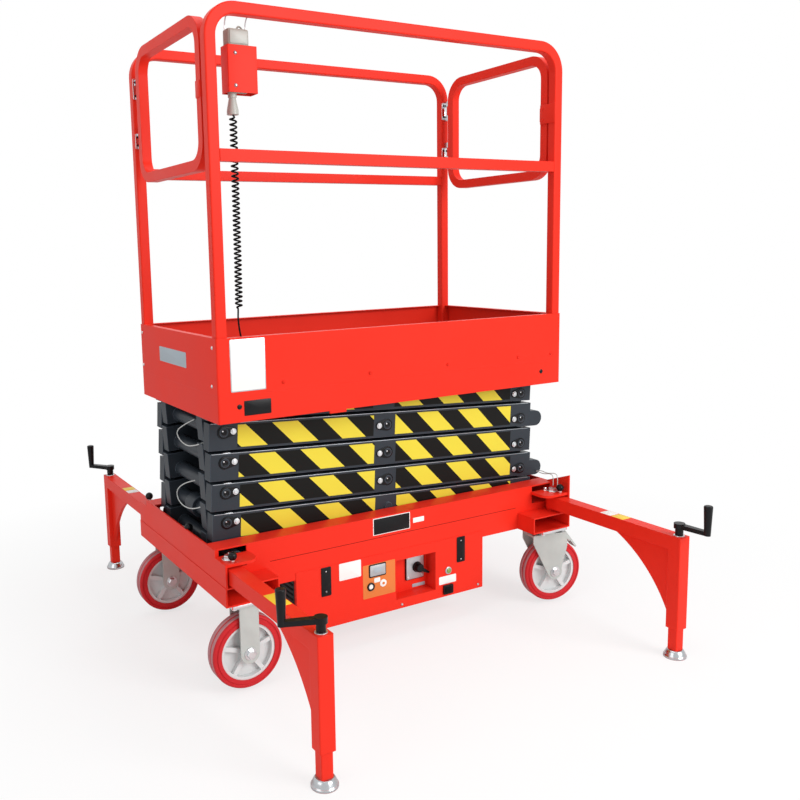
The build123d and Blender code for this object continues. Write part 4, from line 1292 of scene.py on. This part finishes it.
    def rotary_switch(self) -> None:
        """Makes the rotary switch on its plate at the recess's back, and the label under it."""
        shape = Shape()
        panel, (x, z) = Panel(shape, AHEAD, self.recess_back), self.switch
        for finish, wide, high, *rest in self.switch_parts:
            panel.plate(finish, (x - wide, x + wide), (z - high, z + high), *rest)
        corners = [(x + dx, z + dz) for dx in (-0.026, 0.026) for dz in (-0.031, 0.031)]
        panel.heads(Head.CAP, Finishes.ZINC, 0.0032, 0.0025, corners, 0.0065)
        panel.turned(Finishes.BLACK, *self.hub, 0.005, 32, self.knob)
        root, tip = (panel.spot(*place, 0.0205) for place in (self.hub, self.tip))
        way = (tip - root).normalized()
        wide = way.cross(Vector((0, 1, 0)))
        base = Matrix((way, wide, way.cross(wide))).transposed().to_4x4()
        base.translation = root - 0.004 * way.cross(wide)
        reach = (tip - root).length
        half = [(0, 0.006), (reach * 0.7, 0.0048), (reach, 0.003)]
        outline = [(u, -v) for u, v in half] + half[::-1]
        shape.prism(outline, base, 0.008, Finishes.BLACK, 0.0012)
        switch = shape.made("rotary_switch_and_plate", "chassis", "black_plastic")
        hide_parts("rotary_switch")
        label = Shape()
        strip = Panel(label, AHEAD, self.recess_back)
        strip.plate(Finishes.PALE, (0.058, 0.106), (0.1235, 0.134), 0.0, 0.0012, 0.002)
        label.made("recess_label", "chassis", "zinc_plate")

    def rail(self) -> None:
        """Puts painted shade lines in the rails' seams, the data plate and its label on the rails, the plates
        blank.
        """
        shape = Shape()
        for side, way in SIDES.items():
            low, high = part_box(f"chassis_rail_{side}")
            ends = (low.x + 0.156, high.x - 0.156)
            outer = Panel(shape, (0, way, 0), low.y if way < 0 else high.y)
            # a thin dark strip: painted shade in the seam
            outer.plate(Finishes.SEAM_SHADE, ends, (0.3216, 0.3230), 0.0, 0.0002, 0.0004)
        panel = Panel(shape, AHEAD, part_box("chassis_rail_front")[0].y)
        for row in self.rail_plates:
            panel.plate(*row)
        panel.heads(Head.RIVET, Finishes.ZINC, 0.0018, 0.0014, [(-0.1085, 0.356), (0.0185, 0.356)], 0.0006)
        shape.made("data_plate", "chassis", "black_plastic")

    def build(self) -> None:
        """Makes the cover, the panel, the switch and the rails' plates."""
        self.cover()
        self.front()
        self.rotary_switch()
        self.rail()


# ---------------------------------------------------------------------------- platform
@dataclass
class PlatformFittings:
    """Labels, rivets and small parts of the platform, its holder and its gates."""

    end_rivets: tuple = ((-0.273, 0.914), (-0.263, 0.814), (0.284, 0.814), (0.284, 0.914))  # Y and Z
    side_rivets: Point = (-0.40, -0.13, 0.14, 0.41, 0.545)
    side_rivet_z: float = 0.812
    end_plate: tuple = ((-0.085, 0.130), (0.842, 0.885))  # its ends along Y and Z
    front_labels: tuple = (  # finish, ends along X and Z, how far out it starts, thickness and corner
        (Finishes.SILVER, (-0.549, -0.450), (0.799, 0.934), 0.0, 0.0004, 0.003),
        (Finishes.WHITE, (-0.5465, -0.4525), (0.8015, 0.9315), 0.0004, 0.0003, 0.003),
    )
    skirt_plate: tuple = ((-0.514, -0.437), (0.735, 0.774))
    skirt_lug: tuple = ((-0.260, 0.7115, -0.0005), (-0.207, 0.7235, -0.0055))  # X, Z and how far out
    plugs: tuple = ((-0.527, 0.760), (0.506, 0.760))
    plug: Profile = ((0.0065, 0), (0.0065, 0.0008), (0.0052, 0.0018))
    sleeve: Point = (0.114, 0.022, 0.0015)  # the holder's height, half its depth and its wall
    holder_rivets: tuple = ((-0.4895, 1.6405), (-0.4905, 1.5624))
    hook_inset: float = 0.012  # of the holder's wire hooks, from its sides
    hook_rise: tuple = ((0.0, 1.722), (-0.018, 1.740))  # along Y from the hook's foot, and Z
    hook_end: Point = (-0.269, 1.742)  # Y and Z
    window: Point = (0.024, 0.036, 0.005)  # half the clear frame's width, and its ends below the control's top
    loop: tuple = ((0.002, -0.002), (0.004, 0.008), (0.014, 0.009), (0.020, -0.002))  # from the control's top
    latch: Point = (0.0165, 1.530, 1.572)  # half the width of a latch box, its foot and its top
    striker: tuple = ((-0.0195, -0.300, 1.522), (-0.0168, -0.236, 1.580))  # X from the right gate, Y and Z
    striker_screws: tuple = ((-0.247, 1.534), (-0.247, 1.568))
    plunger: Point = (0.004, 0.012, 0.015)  # its radius, its height and how far up its knob sits
    leaves: tuple = ((1.604, 1.663), (1.462, 1.506))  # foot and top of each hinge leaf
    leaf: Point = (0.5675, 0.014)  # where the leaves' middle is along X, and half their width

    def toe_board(self) -> None:
        """Adds the toe board's rivets, blank labels and plates."""
        low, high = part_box("toe_board")
        shape = Shape()
        left = Panel(shape, LEFT, low.x)
        for panel in (left, Panel(shape, (1, 0, 0), high.x)):
            panel.heads(Head.RIVET, Finishes.ZINC, 0.0052, 0.0026, self.end_rivets)
        for side in SIDES.values():
            rows = [(x, self.side_rivet_z) for x in self.side_rivets]
            Panel(shape, (0, side, 0), side * abs(low.y)).heads(Head.RIVET, Finishes.PAINT, 0.005, 0.0024, rows)
        left.plate(Finishes.PALE, *self.end_plate, 0.0, 0.0005)
        for row in self.front_labels:
            Panel(shape, AHEAD, low.y).plate(*row)
        shape.made("toe_board_trim", "platform", "zinc_plate")

    def skirt(self) -> None:
        """Adds the skirt's blank plate, plugs and small lug."""
        shape = Shape()
        panel = Panel(shape, AHEAD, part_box("platform_frame")[0].y)
        panel.plate(Finishes.BLACK, *self.skirt_plate, 0.0, 0.0008, 0.002)
        for x, z in self.plugs:
            panel.turned(Finishes.BLACK, x, z, 0.0, 20, self.plug)
        low, high = (panel.spot(*corner) for corner in self.skirt_lug)
        shape.box(low, high, Finishes.PAINT, 0.0015)
        shape.made("skirt_trim", "platform", "black_plastic")

    def holder(self) -> None:
        """Makes the control's folded holder with its two wire hooks."""
        low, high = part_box("control_holder")
        tall, half_y, wall = self.sleeve
        half_x, top = (high.x - low.x) / 2, low.z + tall
        shape = Shape()
        middle = Matrix.Translation(((low.x + high.x) / 2, low.y + half_y, low.z))
        inner = rounded(half_x - wall, half_y - wall, 0.001)
        shape.sleeve(rounded(half_x, half_y, 0.002), inner, middle, tall, Finishes.PAINT)
        Panel(shape, AHEAD, low.y).heads(Head.RIVET, Finishes.SILVER, 0.005, 0.0022, self.holder_rivets)
        rear = low.y + 2 * half_y - 0.003
        bend = [(rear + dy, z) for dy, z in self.hook_rise]
        for x in (low.x + self.hook_inset, high.x - self.hook_inset):
            line = [(rear, top - 0.02), (rear, top + 0.03), *bend, self.hook_end]
            shape.pipe([(x, y, z) for y, z in line], 0.0016, Finishes.ZINC)
        holder = shape.made("folded_holder", "platform", "red_paint")
        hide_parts("control_holder")

    def control(self) -> None:
        """Adds the clear frame and the loop of the hung control."""
        low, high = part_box("control_pendant")
        x, y, z = (low.x + high.x) / 2, low.y, high.z
        shape = Shape()
        half, foot, head = self.window
        Panel(shape, AHEAD, y).plate(Finishes.CLEAR, (x - half, x + half), (z - foot, z - head), 0.0, 0.001)
        shape.pipe([(x + dx, y + 0.018, z + dz) for dx, dz in self.loop], 0.0022, Finishes.GREY)
        shape.made("control_face", "platform", "pendant_grey")

    def latches(self) -> None:
        """Adds the gates' latch boxes beside the front posts."""
        half, foot, top = self.latch
        thick, tall, knob = self.plunger
        for end in ENDS:
            low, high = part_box(f"gate_{end}")
            x, shape = (low.x + high.x) / 2, Shape()
            shape.box((x - half, low.y - 0.001, foot), (x + half, low.y + 0.030, top), Finishes.PAINT, 0.002)
            if end == "right":
                near, far = ((x + dx, y, z) for dx, y, z in self.striker)
                shape.box(near, far, Finishes.PAINT, 0.001)
                Panel(shape, LEFT, near[0]).heads(Head.CAP, Finishes.PAINT, 0.003, 0.002, self.striker_screws)
            y = low.y + 0.012
            shape.stem((x, y, top), (x, y, top + tall), thick, Finishes.CHROME)
            shape.ball((x, y, top + knob), 0.0075, Finishes.BLACK)
            shape.made(f"gate_latch_{end}", f"gate_{end}", "zinc_plate")

    def hinge_leaves(self) -> None:
        """Screws the hinges' leaves to the rear posts."""
        middle, half = self.leaf
        for end, lean in ENDS.items():
            x, shape = lean * middle, Shape()
            panel = Panel(shape, AHEAD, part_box("guardrail_rear")[0].y)
            for foot, top in self.leaves:
                panel.plate(Finishes.CHROME, (x - half, x + half), (foot, top), 0.0, 0.0018, 0.002)
                spots = [(x + dx, z) for dx in (-0.006, 0.006) for z in (foot + 0.01, top - 0.01)]
                panel.heads(Head.CAP, Finishes.BLACK, 0.003, 0.001, spots, 0.0018)
            shape.made(f"hinge_leaves_{end}", "platform", "zinc_plate")

    def build(self) -> None:
        """Makes every fitting of the platform."""
        self.toe_board()
        self.skirt()
        self.holder()
        self.control()
        self.latches()
        self.hinge_leaves()


@dataclass
class DeckTread:
    """Raised lozenges all over the deck, at right angles to their neighbours."""

    spacing: float = 0.0275  # from one to the next
    size: float = 0.0115  # half the length of a lozenge
    slim: float = 0.32  # its width as a share of its length
    rise: float = 0.0012  # how far it stands up
    top: float = 0.72  # size of its top as a share of its foot's
    margin: float = 0.022  # bare strip along the deck's edge

    def layout(self) -> Layout:
        """Builds the tree of the lozenges.

        Returns:
            The tree.
        """
        graph = Layout("deck_lozenges", "Size", "Slim", "Rise")
        top = graph.maths("MULTIPLY", graph.inputs["Size"], self.top)
        bar = graph.cone(8, graph.inputs["Size"], top, 0.0, graph.inputs["Rise"])
        slim = graph.add("ShaderNodeCombineXYZ", {"X": 1.0, "Y": graph.inputs["Slim"], "Z": 1.0})
        shape = graph.add("GeometryNodeTransform", {"Geometry": bar, "Scale": slim.outputs[0]})
        graph.finish(shape.outputs[0], "X")
        return graph

    def build(self) -> None:
        """Covers the deck."""
        low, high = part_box("deck_plate")
        counts = [int((high[k] - low[k] - 2 * self.margin) / self.spacing) for k in (0, 1)]
        spots = []
        for i in range(counts[0] + 1):
            for j in range(counts[1] + 1):
                x = (low.x + high.x) / 2 + (i - counts[0] / 2) * self.spacing
                y = (low.y + high.y) / 2 + (j - counts[1] / 2) * self.spacing
                spots.append(((x, y, high.z), (1.0, 1.0 if (i + j) % 2 else -1.0, 0.0)))
        shape = Shape()
        made = self.layout().run(spots, Finishes.DECK, Size=self.size, Slim=self.slim, Rise=self.rise)
        shape.merge(made, Finishes.DECK, False)
        shape.made("deck_tread", "platform", "deck_steel")


# ---------------------------------------------------------------------------- studio
@dataclass
class Studio:
    """A plain white studio with soft light and the camera."""

    place: Point = (-1.42, -2.32, 1.1563)  # where the camera stands
    yaw: float = -29.677  # turn about the vertical, in degrees
    pitch: float = -8.0987  # tilt, in degrees
    roll: float = -1.2742  # in degrees
    lens: float = 39.241  # focal length for the sensor, both in millimetres
    sensor: float = 36.0
    shift: Point = (0.0919, -0.0341)  # of the frame, as shares of its width
    floor_radius: float = 30.0
    fade: Point = (0.8, 1.9)  # distances between which the floor's shadow fades out
    lamps: tuple = (  # name, place, height of the aim, side and watts
        ("key", (1.6, -4.2, 2.6), 0.8, 2.6, 150),
        ("fill", (-3.8, -1.2, 2.4), 0.8, 2.4, 24),
        ("top", (0, 0, 4.6), 0.5, 3.0, 60),
    )

    def camera(self) -> None:
        """Puts the camera in place."""
        yaw, pitch, roll = (math.radians(v) for v in (self.yaw, self.pitch, self.roll))
        ahead = Vector((-math.sin(yaw) * math.cos(pitch), math.cos(yaw) * math.cos(pitch), math.sin(pitch)))
        right = Vector((math.cos(yaw), math.sin(yaw), 0.0))
        up = right.cross(ahead)
        side = math.cos(roll) * right + math.sin(roll) * up
        top = math.cos(roll) * up - math.sin(roll) * right
        data = bpy.data.cameras.new("camera")
        data.lens, data.sensor_width = self.lens, self.sensor
        data.shift_x, data.shift_y = self.shift
        camera = bpy.data.objects.new("camera", data)
        turn = Matrix((side, top, -ahead)).transposed().to_4x4()
        camera.matrix_world = Matrix.Translation(Vector(self.place)) @ turn
        bpy.context.scene.collection.objects.link(camera)
        bpy.context.scene.camera = camera

    def floor(self) -> None:
        """Lays the pale floor, which shows white far out and takes a soft shadow near the machine."""
        material = bpy.data.materials.new("studio_floor")
        material.use_nodes = True
        graph = Graph(material.node_tree)
        shader = material.node_tree.nodes["Principled BSDF"]
        graph.put(shader, {"Base Color": (0.9, 0.9, 0.9, 1), "Roughness": 0.9, "Specular IOR Level": 0.1})
        glow = graph.add("ShaderNodeEmission", {"Color": (1, 1, 1, 1), "Strength": 1.0})
        place = graph.add("ShaderNodeTexCoord").outputs["Object"]
        far = graph.add("ShaderNodeVectorMath", {0: place}, operation="LENGTH").outputs["Value"]
        seen = graph.add("ShaderNodeLightPath").outputs["Is Camera Ray"]
        share = graph.maths("MULTIPLY", seen, graph.ramp(far, *self.fade, 0.7, 1.0))
        mix = graph.add("ShaderNodeMixShader", {0: share, 1: shader.outputs[0], 2: glow.outputs[0]})
        graph.put(material.node_tree.nodes["Material Output"], {0: mix.outputs[0]})
        part = bmesh.new()
        bmesh.ops.create_circle(part, cap_ends=True, segments=64, radius=self.floor_radius)
        data = bpy.data.meshes.new("studio_floor")
        part.to_mesh(data)
        part.free()
        data.materials.append(material)
        floor = bpy.data.objects.new("studio_floor", data)
        bpy.context.scene.collection.objects.link(floor)

    def world(self) -> None:
        """Fills the surroundings with even white light, twice as strong where it is seen directly."""
        world = bpy.data.worlds.new("studio")
        world.use_nodes = True
        graph = Graph(world.node_tree)
        path = graph.add("ShaderNodeLightPath")
        direct = graph.maths("MAXIMUM", path.outputs["Is Camera Ray"], path.outputs["Is Glossy Ray"])
        direct = graph.maths("MAXIMUM", direct, path.outputs["Is Transmission Ray"])
        strength = graph.maths("MULTIPLY_ADD", direct, 0.5, 0.5)
        graph.put(world.node_tree.nodes["Background"], {"Color": (1, 1, 1, 1), "Strength": strength})
        bpy.context.scene.world = world

    def light(self) -> None:
        """Hangs the soft lamps."""
        for name, place, aim, size, power in self.lamps:
            data = bpy.data.lights.new(name, "AREA")
            data.shape, data.size, data.energy = "SQUARE", size, power
            lamp = bpy.data.objects.new(name, data)
            turn = (Vector((0, 0, aim)) - Vector(place)).to_track_quat("-Z", "Y")
            lamp.matrix_world = Matrix.Translation(Vector(place)) @ turn.to_matrix().to_4x4()
            bpy.context.scene.collection.objects.link(lamp)

    def build(self) -> None:
        """Sets up the camera, the floor and the light."""
        self.camera()
        self.floor()
        self.world()
        self.light()
        log.info("studio ready")


def main() -> None:
    """Builds every sub-assembly in order."""
    bpy.context.scene.view_settings.view_transform = "Standard"
    assemblies = (
        CurlyCord(),
        CadDress(),
        HazardRuns(),
        HighlightLinesAndShims(),
        PinKeepers(),
        Wires(),
        ChassisFittings(),
        WheelFittings(),
        OutriggerFittings(),
        HousingPanel(),
        PlatformFittings(),
        DeckTread(),
        Studio(),
    )
    for assembly in assemblies:
        assembly.build()
        log.info("%s finished", type(assembly).__name__)


if __name__ == "__main__":
    logging.basicConfig(level=logging.INFO, format="%(message)s")
    main()
